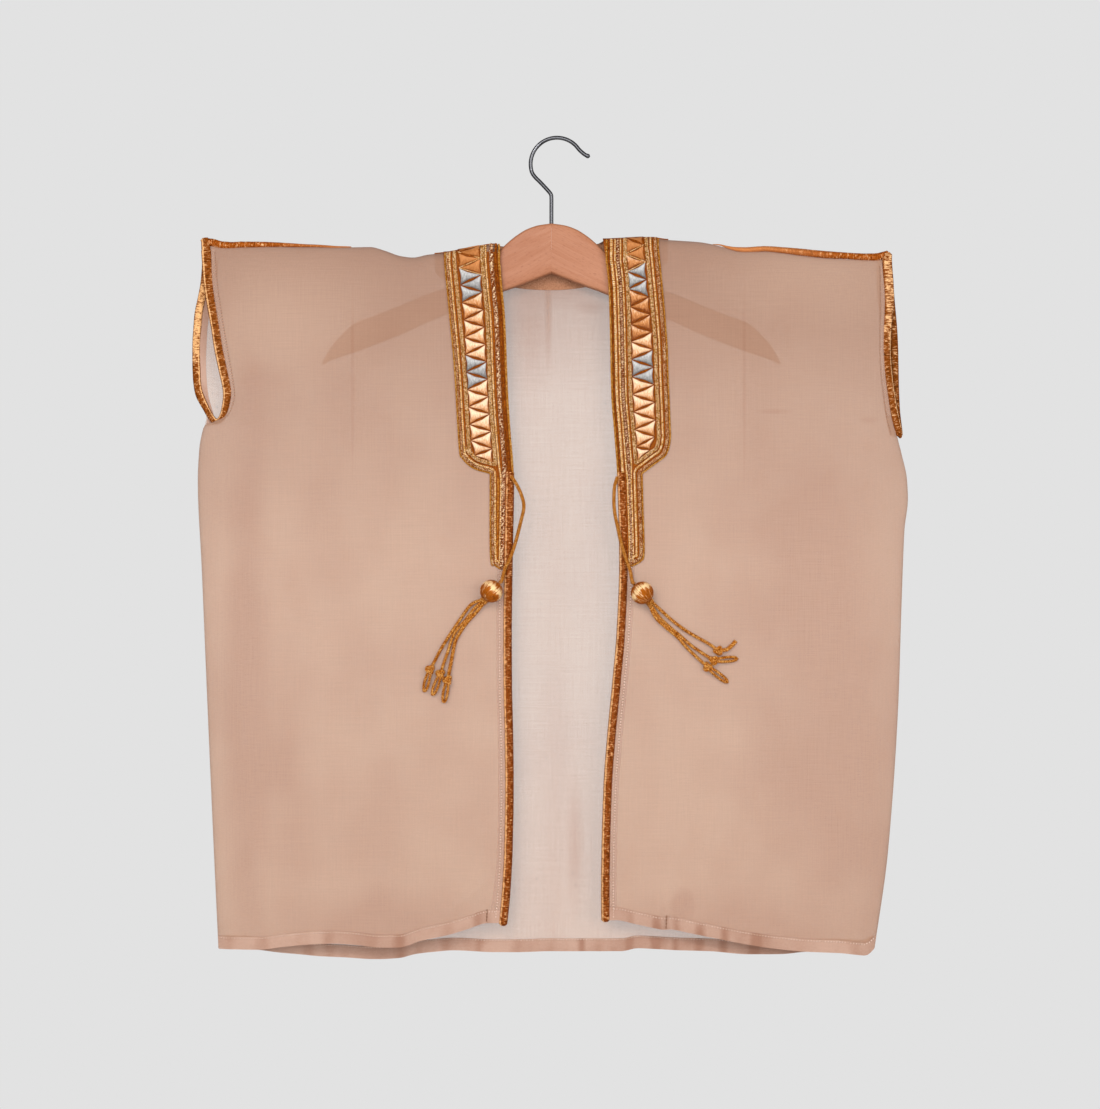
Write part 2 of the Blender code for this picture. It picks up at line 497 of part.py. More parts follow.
def make_front_braid(name, panel, outer_edges, neck_edge, sign):
    """Gold braid on a front, with ropes, a satin tube and a row of padded triangles."""
    outer_edge = Profile(outer_edges, "z", "outer")
    low_end = min(edge.z for edge in outer_edges)
    levels = braid_levels(low_end)
    crown = panel.top(outer_edges[0].outer + sign * BRAID_MIDDLE)
    base, top = [], []
    for row in range(SHOULDER_ROWS + len(levels)):
        base.append([])
        top.append([])
        for i, course in enumerate(COURSES):
            if row < SHOULDER_ROWS:
                z = crown + (SHOULDER_LEVEL - crown) * TOP_SHARES[row]
            else:
                z = levels[row - SHOULDER_ROWS]
            narrow = z < BRAID_WIDE_END
            inner_x = neck_edge(z) - sign * (PIPING + GAP if narrow else 0.0)
            share = course.share
            if i == FIELD_COURSE and not narrow:
                share += FIELD_SWAY * (1 if row % 2 else -1)
            x = inner_x + (outer_edge(z) - inner_x) * share
            height = course.narrow if narrow else course.height
            if i == FIELD_COURSE and not narrow:
                height += FIELD_PAD
            point, normal = panel.along_row(row, x) if row < SHOULDER_ROWS else panel.surface(x, z)
            normal = Vector((0, normal.y, normal.z)).normalized()
            point.x = x
            base[-1].append(point + normal * GAP)
            top[-1].append(point + normal * (GAP + height))
    return wall_between(name, base, top, panel.facing, GOLD_BRAID)


def make_neck_braid(panel):
    """Gold braid round the back of the neck, on the outside of the back."""
    reach, drop = 82.0, 17.0
    heights = [0.9, 1.8, 1.1, 2.2, 1.2, 1.6, 0.9]
    low_shares = [0.4, 0.75, 1.0]
    base, top = [], []
    for row, height in enumerate(heights):
        base.append([])
        top.append([])
        for i in NECK_COLUMNS:
            near = SHOULDER_ROWS - 2
            point = panel.outer[min(row, near)][i].copy()
            normal = grid_normal(panel.outer, min(row, near), i, panel.facing)
            if row > near:
                aside = (point.x - HANGER_AXIS) / reach
                low = point.z - 3.0 - drop * math.sqrt(max(1 - aside ** 2, 0.0))
                share = low_shares[row - near - 1]
                point, normal = panel.surface(point.x, point.z + (low - point.z) * share)
            base[-1].append(point + normal * GAP)
            top[-1].append(point + normal * (GAP + height))
    return wall_between("braid_back", base, top, panel.facing, GOLD_BRAID)


def make_binding(name, table):
    """A flat gold ribbon with rounded edges that follows one sleeve opening."""
    spots = [Vector((row.x, row.y, row.z)) for row in table]
    widths = [row.width for row in table]
    corners = [(-0.5, -0.2), (-0.38, -0.5), (0.38, -0.5), (0.5, -0.2),
               (0.5, 0.2), (0.38, 0.5), (-0.38, 0.5), (-0.5, 0.2)]
    side = Vector((1, 0, 0))
    points = []
    for i, spot in enumerate(spots):
        along = (spots[min(i + 1, len(spots) - 1)] - spots[max(i - 1, 0)]).normalized()
        side = (side - along * side.dot(along)).normalized()
        thick = along.cross(side)
        points += [spot + side * across * widths[i] + thick * deep * BINDING_THICK
                   for across, deep in corners]
    ring = len(corners)
    faces = [tuple(range(ring)), tuple(range(len(points) - ring, len(points)))]
    for i in range(len(spots) - 1):
        for k in range(ring):
            a, b = i * ring + k, i * ring + (k + 1) % ring
            faces.append((a, b, b + ring, a + ring))
    return add_object(name, points, faces, GOLD_BINDING)


def make_piping(name, panel, edge, sign, low_end):
    """Thick gold cord down a front's open edge, from the braid to the hem."""
    levels = [-235.7 + (low_end + 235.7) * i / 26 for i in range(27)]
    route = []
    for z in levels:
        x = edge(z) - sign * PIPING / 2
        route.append((x, panel.facing * (panel.room(x - sign * 5, z) + WALL / 2), z))
    return add_tube(name, route, PIPING, GOLD_CORD)


def make_shoulder_cord(name, panel, start, stop):
    """Gold cord sewn along the shoulder's fold, from the sleeve opening inwards."""
    steps = 10
    route = []
    for i in range(steps + 1):
        x = start + (stop - start) * i / steps
        route.append((x, 0.0, panel.top(x) + SHOULDER_SEAT + SHOULDER_CORD / 2))
    return add_tube(name, route, SHOULDER_CORD, GOLD_CORD)


def before_cloth(spot):
    """Place of a free cord's point, standing off the cloth's outer face."""
    return Vector((spot.x, -(HALF_ROOM + WALL + spot.lift), spot.z))


def make_tie(name, routes, bead):
    """Tie cord from the end of the braid into its bead."""
    route = smooth_route([before_cloth(spot) for spot in routes], TIE_CORD * 2)
    centre = before_cloth(bead)
    inward = (centre - route[-1]).normalized()
    route[-1] = centre - inward * (BEAD_RADIUS + GAP + TIE_CORD / 8)
    route[-2] = route[-1] - inward * TIE_CORD
    return add_tube(name, route, TIE_CORD, GOLD_CORD)


def add_ball(name, centre, radius, finish, around=14, up=9):
    ball = bmesh.new()
    bmesh.ops.create_uvsphere(ball, u_segments=around, v_segments=up, radius=radius)
    points = [vertex.co + Vector(centre) for vertex in ball.verts]
    faces = [tuple(vertex.index for vertex in face.verts) for face in ball.faces]
    ball.free()
    return add_object(name, points, faces, finish)


def make_tassel(name, bead, strands):
    """A collar under the bead with its strands, knots and loops, joined into one body."""
    centre = before_cloth(bead)
    roots = [before_cloth(strand.route[0]) for strand in strands]
    middle = sum(roots, Vector()) / len(roots)
    away = (middle - centre).normalized()
    seat = centre + away * (BEAD_RADIUS + GAP + COLLAR_THICK / 2)
    disc = bmesh.new()
    turn = away.to_track_quat("Z", "Y").to_matrix().to_4x4()
    bmesh.ops.create_cone(disc, cap_ends=True, segments=10, radius1=COLLAR_RADIUS - 0.6,
                          radius2=COLLAR_RADIUS, depth=COLLAR_THICK, matrix=turn)
    points = [vertex.co + seat for vertex in disc.verts]
    faces = [tuple(vertex.index for vertex in face.verts) for face in disc.faces]
    disc.free()
    collar = add_object(name, points, faces, GOLD_CORD)
    parts = []
    for i, strand in enumerate(strands):
        route = [seat + (before_cloth(strand.route[0]) - middle) * 0.6]
        route += [before_cloth(spot) for spot in strand.route[1:]]
        parts.append(add_tube(f"{name}_strand_{i}", smooth_route(route, 5.0), STRAND, GOLD_CORD, 0))
        knot, tip = route[-1], before_cloth(strand.tip)
        parts.append(add_ball(f"{name}_knot_{i}", knot, KNOT_RADIUS, GOLD_CORD, 8, 6))
        parts.append(add_tube(f"{name}_end_{i}", end_route(knot, tip, strand.looped), LOOP_STRAND,
                              GOLD_CORD, 0))
    for part in parts:
        part.hide_render = True
        part.display_type = "WIRE"
        union = collar.modifiers.new(part.name, "BOOLEAN")
        union.operation = "UNION"
        union.solver = "EXACT"
        union.object = as_mesh_object(part)
    return collar


def end_route(knot, tip, looped):
    """Past its knot a strand ends in a narrow loop that comes back, or in a plain tail."""
    reach = tip - knot
    aside = reach.cross(Vector((0, 1, 0))).normalized() * (LOOP_WIDTH / 2)
    if not looped:
        return [knot, knot + reach * 0.4 - aside * 1.4, knot + reach * 0.75 - aside * 0.8, tip]
    out = [knot + reach * 0.2 + aside * 0.7, knot + reach * 0.55 + aside, knot + reach * 0.88 + aside * 0.75]
    back = [knot + reach * 0.88 - aside * 0.75, knot + reach * 0.55 - aside, knot + reach * 0.2 - aside * 0.7]
    return [knot + aside * 0.5] + out + [tip] + back + [knot - aside * 0.5]


def as_mesh_object(piece):
    """A boolean needs a mesh: swap a curve helper for a mesh of the same shape."""
    if piece.type == "MESH":
        return piece
    graph = bpy.context.evaluated_depsgraph_get()
    mesh = bpy.data.meshes.new_from_object(piece.evaluated_get(graph))
    helper = bpy.data.objects.new(piece.name + "_solid", mesh)
    bpy.context.collection.objects.link(helper)
    helper.hide_render = True
    helper.display_type = "WIRE"
    bpy.data.objects.remove(piece)
    return helper


def make_hanger_half(name, sign):
    """One arm of the hanger: its outline, thickened, with rounded edges off the mitre."""
    upper = [Vector((HANGER_AXIS + sign * max(row.out, GAP / 2), -WOOD_THICK / 2, row.top)) for row in WOOD]
    lower = [Vector((HANGER_AXIS + sign * max(row.out, GAP / 2), -WOOD_THICK / 2, row.low))
             for row in reversed(WOOD)]
    solid = bmesh.new()
    corners = [solid.verts.new(point * MM) for point in upper + lower]
    face = solid.faces.new(corners)
    pushed = bmesh.ops.extrude_face_region(solid, geom=[face])
    moved = [item for item in pushed["geom"] if isinstance(item, bmesh.types.BMVert)]
    bmesh.ops.translate(solid, verts=moved, vec=Vector((0, WOOD_THICK * MM, 0)))
    bmesh.ops.recalc_face_normals(solid, faces=solid.faces)
    joint = (HANGER_AXIS + sign * GAP / 2) * MM
    rim = [edge for edge in solid.edges
           if abs(edge.verts[0].co.y - edge.verts[1].co.y) < 1e-6
           and not all(abs(vertex.co.x - joint) < 1e-6 for vertex in edge.verts)]
    bmesh.ops.bevel(solid, geom=rim, offset=WOOD_EDGE * MM, segments=2, profile=0.6, affect="EDGES",
                    clamp_overlap=True)
    mesh = bpy.data.meshes.new(name)
    solid.to_mesh(mesh)
    solid.free()
    mesh.materials.append(finish_material(BEECH))
    mesh.shade_smooth()
    mesh.set_sharp_from_angle(angle=math.radians(50))
    half = bpy.data.objects.new(name, mesh)
    bpy.context.collection.objects.link(half)
    return half


def make_hook():
    """Bent wire: stem, slant, a round hook and an outward tip with a rounded end."""
    centre = -(HOOK_RADIUS - WIRE / 2)
    stem = [(HANGER_AXIS, 0, WOOD[0].top + GAP), (HANGER_AXIS, 0, -41.0), (HANGER_AXIS - 0.3, 0, -38.6),
            (HANGER_AXIS - 1.6, 0, -36.6)]
    first, last, steps = 199, 34, 18
    arc = []
    for i in range(steps + 1):
        angle = math.radians(first + (last - first) * i / steps)
        arc.append((HOOK_RADIUS * math.cos(angle), 0, centre + HOOK_RADIUS * math.sin(angle)))
    slant = [(-11.0, 0, -30.6), (-15.4, 0, -26.2)]
    tip = [(17.7, 0, -9.0), (20.1, 0, -10.8), (22.3, 0, -11.7), (23.2, 0, -12.0)]
    route = stem + slant + arc + tip
    radii = [1.0] * (len(route) - 3) + [1.05, 1.2, 0.9]
    return add_tube("hanger_hook", route, WIRE, STEEL, 2, radii)


def main():
    for leftover in list(bpy.data.objects):
        bpy.data.objects.remove(leftover)
    panels = make_panels()
    left, right, back = panels["front_left"], panels["front_right"], panels["back"]
    make_front_braid("braid_left", left, BRAID_LEFT, opening_left, 1)
    make_front_braid("braid_right", right, BRAID_RIGHT, opening_right, -1)
    make_neck_braid(back)
    make_piping("edge_cord_left", left, opening_left, 1, -550.3)
    make_piping("edge_cord_right", right, opening_right, -1, -547.6)
    make_shoulder_cord("shoulder_cord_left", left, -242.0, -145.0)
    make_shoulder_cord("shoulder_cord_right", right, 227.5, 111.5)
    make_binding("cuff_left", CUFF_LEFT)
    make_binding("cuff_right", CUFF_RIGHT)
    make_tie("tie_cord_left", TIE_LEFT, BEAD_LEFT)
    make_tie("tie_cord_right", TIE_RIGHT, BEAD_RIGHT)
    add_ball("bead_left", before_cloth(BEAD_LEFT), BEAD_RADIUS, GOLD_CORD)
    add_ball("bead_right", before_cloth(BEAD_RIGHT), BEAD_RADIUS, GOLD_CORD)
    make_tassel("tassel_left", BEAD_LEFT, TASSEL_LEFT)
    make_tassel("tassel_right", BEAD_RIGHT, TASSEL_RIGHT)
    make_hanger_half("hanger_left", -1)
    make_hanger_half("hanger_right", 1)
    make_hook()


main()
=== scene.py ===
"""The cloak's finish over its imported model: sheer cloth, gold braid, piping, cords, beads and
tassels, and the small wooden hanger.

Frame: millimetres in the tables, metres in the meshes. +Z is up, the front faces -Y, and +X is the
right hand of someone who looks at the front. The origin is under the top of the hook.
"""
import math
import random
from collections import namedtuple

import bpy
from mathutils import Matrix, Vector, noise


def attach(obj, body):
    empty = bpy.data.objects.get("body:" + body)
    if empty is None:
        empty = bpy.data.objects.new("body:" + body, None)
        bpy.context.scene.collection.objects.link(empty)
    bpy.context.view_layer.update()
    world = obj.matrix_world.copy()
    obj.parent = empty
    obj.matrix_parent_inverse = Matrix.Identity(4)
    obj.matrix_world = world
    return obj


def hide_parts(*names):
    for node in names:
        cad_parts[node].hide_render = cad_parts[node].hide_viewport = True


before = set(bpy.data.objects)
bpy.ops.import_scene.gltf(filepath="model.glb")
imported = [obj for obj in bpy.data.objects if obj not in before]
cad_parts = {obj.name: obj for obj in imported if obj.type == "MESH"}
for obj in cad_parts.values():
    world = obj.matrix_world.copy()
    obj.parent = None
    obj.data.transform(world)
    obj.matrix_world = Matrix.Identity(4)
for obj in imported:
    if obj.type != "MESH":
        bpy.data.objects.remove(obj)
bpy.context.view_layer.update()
MM = 0.001
TURN = 2 * math.pi

# ---- driving sizes, in millimetres ----
GAP = 0.3                # left between pieces that touch
WALL = 1.0               # wall of the cloth
HALF_ROOM = 7.2          # half the room inside the cloak, front to back
SEAM_ROOM = 0.15         # half the room where the front meets the back
SIDE_ROUND = 62.0        # width over which the cloth comes away from a side seam
CUFF_ROOM = 3.6          # half the parting of the open sleeve edge
HEM_WIDTH = 8.8          # turned hem
PIPING = 6.3             # thick gold cord down each front edge
TIE_CORD = 2.4
BEAD_RADIUS = 8.0
LOOP_WIDTH = 3.0
COLLAR_RADIUS = 3.6
COLLAR_THICK = 1.5
WOOD_THICK = 11.0
WOOD_EDGE = 2.5          # rounding of the wood's edges
WIRE = 2.8
HOOK_RADIUS = 18.5       # to the middle of the wire
HANGER_AXIS = -3.9       # where the hook's stem and the mitre joint stand


def rows(kind, *values):
    """A table's rows, with their columns named."""
    return [kind(*value) for value in values]


# ---- edges of the cloth ----
Edge = namedtuple("Edge", "z front back")
LEFT_SIDE = rows(Edge,
    (-70.8, -244.6, -244.6), (-86.2, -243.7, -244.2), (-102.3, -242, -246.8), (-118.4, -239.6, -249.8),
    (-133.8, -237.2, -251.6), (-154.8, -233.6, -252.2), (-170, -231, -251.4), (-179, -230, -250.2),
    (-187, -231.6, -248), (-193.3, -234.6, -246.2), (-197.5, -239.4, -246.6), (-200.5, -247.2, -247.2),
    (-204, -248.6, -248.6), (-217.8, -251, -251), (-238.8, -252, -252), (-301.8, -249.2, -249.2),
    (-392.8, -245.4, -245.4), (-497.8, -240.8, -240.8), (-570, -237.4, -237.4))
RIGHT_SIDE = rows(Edge,
    (-70.8, 230.2, 230.2), (-102.3, 230.6, 231), (-118.4, 230.6, 232.4), (-133.8, 230.2, 233.8),
    (-146.7, 230.2, 234.6), (-158.3, 230.6, 234.6), (-175.8, 232.2, 234.8), (-193.3, 234.8, 236),
    (-207, 238.4, 238.4), (-212, 239.6, 239.6), (-219.8, 241.6, 241.6), (-238.8, 245.6, 245.6),
    (-252, 246.2, 246.2), (-273.8, 243.8, 243.8), (-301.8, 242.6, 242.6), (-340, 241.3, 241.3),
    (-392.8, 239.6, 239.6), (-497.8, 232.4, 232.4), (-570, 222.4, 222.4))

# front opening: the neck-side edge of each front, to the outside of its braid or piping
Opening = namedtuple("Opening", "z left right")
OPENING = rows(Opening,
    (-70.8, -40.6, 31.5), (-103.7, -37.8, 35.6), (-125.4, -35.8, 36.4), (-180, -33.6, 37.6),
    (-204.5, -32, 39.5), (-236, -29.8, 41.7), (-297, -30.8, 43.3), (-345.9, -31.4, 41.4), (-379.5, -31.3, 38.5),
    (-420.8, -30.4, 34.6), (-453, -30.1, 32.3), (-495.7, -30.8, 31), (-527.9, -32.5, 30.6), (-550, -34.7, 30.8))

# top edge of the cloth, and how softly it rounds over; no rounding along the free neckline
Top = namedtuple("Top", "x z rounding")
TOP_LEFT = rows(Top,
    (-250, -73, 30), (-238, -74.7, 32), (-228.9, -75.3, 34), (-204, -75, 34), (-179.9, -75.4, 34),
    (-144.9, -75.5, 32), (-131, -75.3, 28), (-120.4, -78, 24), (-109.9, -81.6, 20), (-100.8, -82.7, 16),
    (-90.9, -80.7, 12), (-79.8, -79.6, 9), (-60.9, -76.2, 5), (-44, -73.5, 3))
NECKLINE = rows(Top,
    (-41.2, -73.6, 0), (-22, -75.5, 0), (-4, -76, 0), (14, -75, 0), (31.2, -71.4, 0))
TOP_RIGHT = rows(Top,
    (34, -70.4, 3), (50, -69.6, 5), (66, -68.9, 8), (76, -70.2, 11), (86.1, -70.9, 14), (100, -71.9, 20),
    (109.2, -73.5, 24), (119.4, -76.2, 27), (128.1, -78.4, 28), (145.6, -78.4, 32), (158.8, -79.6, 34),
    (171.9, -81.5, 34), (189.4, -83.2, 34), (206.9, -84, 34), (222.6, -84.3, 32), (234, -83.2, 30))

# lower edges of the cloth
Hem = namedtuple("Hem", "x z")
HEM_LEFT = rows(Hem,
    (-237.3, -567.1), (-209.3, -567.1), (-191.8, -565), (-172.9, -563.2), (-156.8, -562.6), (-137.9, -563.8),
    (-123.9, -565.4), (-110, -565.3), (-95.9, -560.9), (-74.9, -556.2), (-62.3, -552.4), (-48.3, -548.2),
    (-34.3, -548.4))
HEM_RIGHT = rows(Hem,
    (30.8, -546.9), (41.3, -546.2), (55.3, -549), (66, -551.4), (74.9, -552.8), (77.6, -552.5), (92.9, -555.3),
    (118.1, -560.4), (136.5, -563.9), (156.1, -566.6), (175.7, -568.4), (196.7, -569.4), (207.9, -570.7),
    (216, -571.6), (219.6, -569.6), (222.6, -566.6))
HEM_BACK = rows(Hem,
    (-237.3, -567.1), (-220, -568), (-206.5, -569.6), (-195.3, -571.2), (-184.1, -572.2), (-167.3, -573.8),
    (-150.5, -574.6), (-128.1, -575.9), (-111.3, -575.2), (-100.1, -572.4), (-88.9, -571), (-72.1, -569.7),
    (-44.1, -571), (-27.3, -571), (-4.9, -570.3), (45.5, -570.3), (57, -568.2), (67.9, -568.7), (84.7, -569.6),
    (107.1, -570.3), (136, -572.5), (157.5, -572.4), (174.3, -570.8), (196.7, -570.2), (214, -570.8),
    (222.6, -567.1))

# largest creases: a soft ridge from its upper to its lower end, standing outwards
Fold = namedtuple("Fold", "panel x_top z_top x_low z_low height width")
FOLDS = rows(Fold,
    ("front_left", -141.6, -84, -141.6, -239, 0.9, 9), ("front_left", -71, -538, -41, -508, 1, 7),
    ("front_left", -215, -470, -205, -560, 1.2, 14), ("front_right", 129.5, -84, 129.5, -239, 0.9, 9),
    ("front_right", 84, -520, 74, -553, 1.2, 7), ("front_right", 200, -440, 190, -560, 1.2, 16),
    ("back", 18.2, -400, 17, -565, 1.3, 14), ("back", -5.6, -535, -5.6, -565, 0.8, 8),
    ("back", -120, -420, -128, -565, 1.4, 18), ("back", 120, -380, 128, -565, 1.4, 18))

# level of the shoulder's lower edge
SHOULDER_LEVEL = -112.0

# the braid's outer edge, by height; its neck-side edge is the opening's
BraidEdge = namedtuple("BraidEdge", "z outer")
BRAID = {"left": rows(BraidEdge,
    (-79.9, -79.8), (-122.6, -75.6), (-161.8, -72.1), (-215.7, -68.8), (-224.1, -66.5), (-231.1, -58.8),
    (-234.8, -47.2), (-292.7, -46.9), (-299, -43.5), (-301.8, -39.5)),
    "right": rows(BraidEdge,
    (-70, 70.3), (-91.8, 72.8), (-139.4, 77), (-165, 78), (-198.9, 79.4), (-212.2, 79.4), (-222, 76.3),
    (-227.6, 69.3), (-234.8, 59.9), (-260.5, 60.6), (-290, 61.3), (-296, 59), (-299.7, 52.5))}

# gold binding of each sleeve opening: down the front edge, round the end, up the back edge
Binding = namedtuple("Binding", "x z y width")
CUFF = {"left": rows(Binding,
    (-246.6, -68.9, -1.3, 6.9), (-245.3, -86, -2.4, 7), (-243.9, -102.5, -3.3, 7), (-241.4, -118.4, -3.8, 6.7),
    (-238.9, -132.4, -4.1, 6.6), (-236.8, -146.4, -4.1, 6.6), (-234, -160.4, -4, 6.4),
    (-231.4, -172.5, -3.7, 6.3), (-230.9, -179.6, -3.5, 6), (-231.9, -186.5, -3, 5.4),
    (-233.8, -193.1, -2.2, 4.8), (-236.2, -196.8, -1, 4.5), (-239.6, -197.8, 0.2, 4.4),
    (-242.8, -194.6, 1.2, 4.4), (-245.8, -189.6, 2, 4.6), (-251, -179.2, 3.2, 5.6), (-252.8, -170.8, 3.7, 5.6),
    (-253.4, -161, 4, 5.8), (-253.7, -151.4, 4.1, 5.4), (-253.6, -140.8, 4.2, 5.4), (-252.8, -131, 4.1, 5.7),
    (-251.9, -121.2, 3.9, 5.7), (-249.9, -111.2, 3.5, 5.4), (-247.8, -100, 3.2, 5.4), (-246.6, -86, 2.4, 5.6),
    (-246.8, -71, 1.3, 6.2)),
    "right": rows(Binding,
    (231.6, -79, -1.3, 6.6), (231.4, -87.2, -2.4, 6.9), (232.1, -100, -3.3, 7.2), (232.5, -111.7, -3.8, 7.1),
    (231.8, -123.3, -4.1, 6.6), (230.8, -135, -4.2, 6), (230.6, -146.7, -4.2, 5.8), (231.3, -158.3, -4.1, 5.5),
    (232.6, -170, -3.8, 5.3), (234.4, -181.7, -3.2, 5.2), (236.4, -192.5, -2.5, 5.3),
    (238.3, -200.2, -1.9, 5.2), (239.7, -205.4, -1.4, 4.9), (240.2, -207.4, 0, 4.6), (240.3, -205, 1.5, 4.8),
    (239.5, -199, 2.1, 5), (238.5, -190, 2.8, 5.2), (237.7, -175, 3.6, 5.6), (237.2, -158, 4.1, 6),
    (236.9, -144, 4.2, 6), (235.9, -130, 4.1, 6.4), (234.4, -114, 3.8, 6.4), (233, -98, 3.2, 6.4),
    (231.8, -86, 2.3, 6.2), (231.6, -80.6, 1.4, 6))}

# piping on the fold of each shoulder, from the sleeve inwards
Piping = namedtuple("Piping", "x z radius")
SHOULDER = {"left": rows(Piping,
    (-247.8, -71.3, 2.5), (-241.2, -72.3, 2.85), (-235, -73.9, 2.75), (-228, -74.2, 2.55), (-221, -73.7, 2.4),
    (-213.2, -73.7, 2.3), (-204.4, -73.6, 2.05), (-195.7, -73.7, 1.75), (-186.9, -74, 1.5),
    (-178.2, -74.3, 1.2), (-169.4, -74.5, 1), (-160.7, -75, 0.95), (-153.7, -75.4, 0.85), (-144.2, -75.2, 0.4)),
    "right": rows(Piping,
    (233, -80, 2.6), (222.6, -82.4, 2.8), (215.6, -82.3, 2.6), (206.9, -81.7, 2.4), (189.4, -80.7, 2.65),
    (171.9, -79, 2.6), (158.8, -77.6, 2.3), (145.6, -76.6, 2.05), (132.3, -77.3, 2), (126.4, -76.9, 1.65),
    (119.4, -75.4, 0.95), (114.1, -73.8, 0.5), (109.2, -73.4, 0.25))}

# free cords: lift is how far a cord's middle stands before the cloth's outer face
Route = namedtuple("Route", "x z lift")
TIE = {"left": rows(Route,
    (-31.9, -236.3, 4.2), (-28.7, -241.3, 3.6), (-25.5, -247.7, 2.4), (-23.3, -254.9, 1.5),
    (-23.3, -259.8, 1.4), (-24.8, -266.1, 1.6), (-26.9, -274.8, 2.5), (-29.4, -284.1, 3.6),
    (-32.6, -293.4, 4.3), (-36.2, -300.4, 4.6), (-38.7, -306.4, 5.2), (-40.2, -310.8, 5.8)),
    "right": rows(Route,
    (42, -237, 3.8), (40.3, -243, 2.9), (39.7, -253.4, 2.5), (40.3, -262, 2.7), (42, -270.6, 3.5),
    (44.1, -280.6, 4.3), (46.9, -290.6, 4.6), (49.6, -298.3, 4.7), (52.2, -306, 5.2), (54.1, -311.7, 5.8))}
BEAD = {"left": Route(-45.7, -316.5, GAP + BEAD_RADIUS), "right": Route(59.2, -317.7, GAP + BEAD_RADIUS)}

# strands of each tassel: the last point is its knot; then the tip of its loop or tail
Strand = namedtuple("Strand", "route tip looped")
TASSEL = {"left": [
    Strand(rows(Route,
        (-52.6, -322.4, 4.6), (-59, -325.3, 2.6), (-63.7, -330.5, 1.7), (-69.7, -339.4, 1.7),
        (-75, -347.3, 1.7), (-81.2, -357.4, 1.8), (-85.1, -364.8, 2.3),
        (-88.5, -371.2, 3.1)), Route(-92.6, -386.5, 1.5), True),
    Strand(rows(Route,
        (-51.4, -323.6, 4.6), (-57.7, -328.7, 2.6), (-63.7, -336.6, 1.7), (-69.7, -343.3, 1.7),
        (-73.5, -350.1, 1.7), (-75.7, -357.4, 1.7), (-78.8, -366.2, 2.2),
        (-81.3, -374.2, 3.1)), Route(-86.8, -389, 1.5), True),
    Strand(rows(Route,
        (-50.1, -325, 4.6), (-56.3, -331.2, 2.6), (-62.6, -338.1, 1.7), (-67.2, -344.5, 1.7),
        (-70.9, -351.4, 1.7), (-72.7, -359.5, 1.7), (-74.4, -368.8, 2.2),
        (-76.4, -378.6, 3.1)), Route(-79, -394, 1.5), True)],
    "right": [
    Strand(rows(Route,
        (66.4, -323, 4.6), (73.2, -330.6, 2.6), (80.1, -336.8, 1.7), (88.7, -343.3, 1.7), (98, -348.9, 1.7),
        (105.8, -353.3, 2.2), (112.4, -358.1, 3.1)), Route(124.8, -351.4, 1.5), False),
    Strand(rows(Route,
        (64.8, -324.6, 4.6), (70.8, -334, 2.6), (78.7, -341.7, 1.7), (85.8, -347.6, 1.7), (93, -354, 1.7),
        (100.1, -359, 2.2), (109.2, -364.8, 3.1)), Route(125.6, -363.7, 1.5), True),
    Strand(rows(Route,
        (63.4, -326, 4.6), (68.6, -334.7, 2.6), (75.8, -341.7, 1.7), (84.4, -349, 1.7), (90.8, -356.2, 1.7),
        (97.3, -362.5, 2.2), (104.9, -369.3, 3.1)), Route(118.9, -380, 1.5), True)]}

# hanger: edges of the wood by distance from its axis
Wood = namedtuple("Wood", "out top low")
WOOD = rows(Wood,
    (0, -58.9, -93.9), (9, -60.2, -97.4), (17, -62.9, -100.5), (25, -67.8, -103.6), (33, -74.6, -106.3),
    (37, -78.6, -108), (43, -84, -110.4), (52, -90.6, -113.9), (62, -97, -118), (75, -104.2, -123.2),
    (88, -109, -128.7), (104, -115.6, -136), (121, -122.5, -142.8), (138, -129, -149.2), (148, -138, -152.5),
    (155, -146.5, -155), (160.3, -156.4, -157.6))

# ---- finer creases, on top of the large ones ----
CREASES = rows(Fold,
    ("front_left", -141.6, -86, -141.6, -239, 0.45, 1.6),
    ("front_left", -221.9, -208.7, -194, -209.4, 0.45, 1.6), ("front_left", -73, -540, -40, -509, 0.45, 1.8),
    ("front_left", -60, -430, -120, -552, 0.7, 12), ("front_left", -222, -230, -190, -420, 0.6, 9),
    ("front_right", 129.5, -86, 129.5, -239, 0.45, 1.6), ("front_right", 92, -526, 82, -548, 0.8, 1.6),
    ("front_right", 76.6, -532, 75.6, -566, 1.3, 1.2), ("front_right", 62, -420, 120, -556, 0.7, 12),
    ("front_right", 214, -230, 180, -430, 0.6, 9), ("back", -4.9, -106, -4.9, -148, -0.7, 3),
    ("back", 18.2, -430, 17.6, -566, 0.6, 2.2), ("back", -12, -120, -14, -330, 0.5, 8))
RIPPLE = 1.5             # height of the cloth's soft unevenness
CLOTH_THICK = 0.3
WEAVE_PITCH = 0.56       # one warp or weft thread
FLAT_BAND = (44, 18, 8)  # width that stays flat beside the opening: at the wide braid, the narrow braid, below
ALLOWANCE = 5.4          # cloth turned back beside the piping
TURNINGS = {"left": (3.6, 2.2, -300.0), "right": (3.0, 0.0, -296.0)}      # at the sleeve, more at the hem, from
HEM_TUCK = {"left": ((-48.8, -539.6), (-49.2, -548.4)), "right": ((76.4, -543.6), (76.0, -553.2))}
STITCH = (0.8, 0.75, 0.5)                 # share of its length that shows, width and height

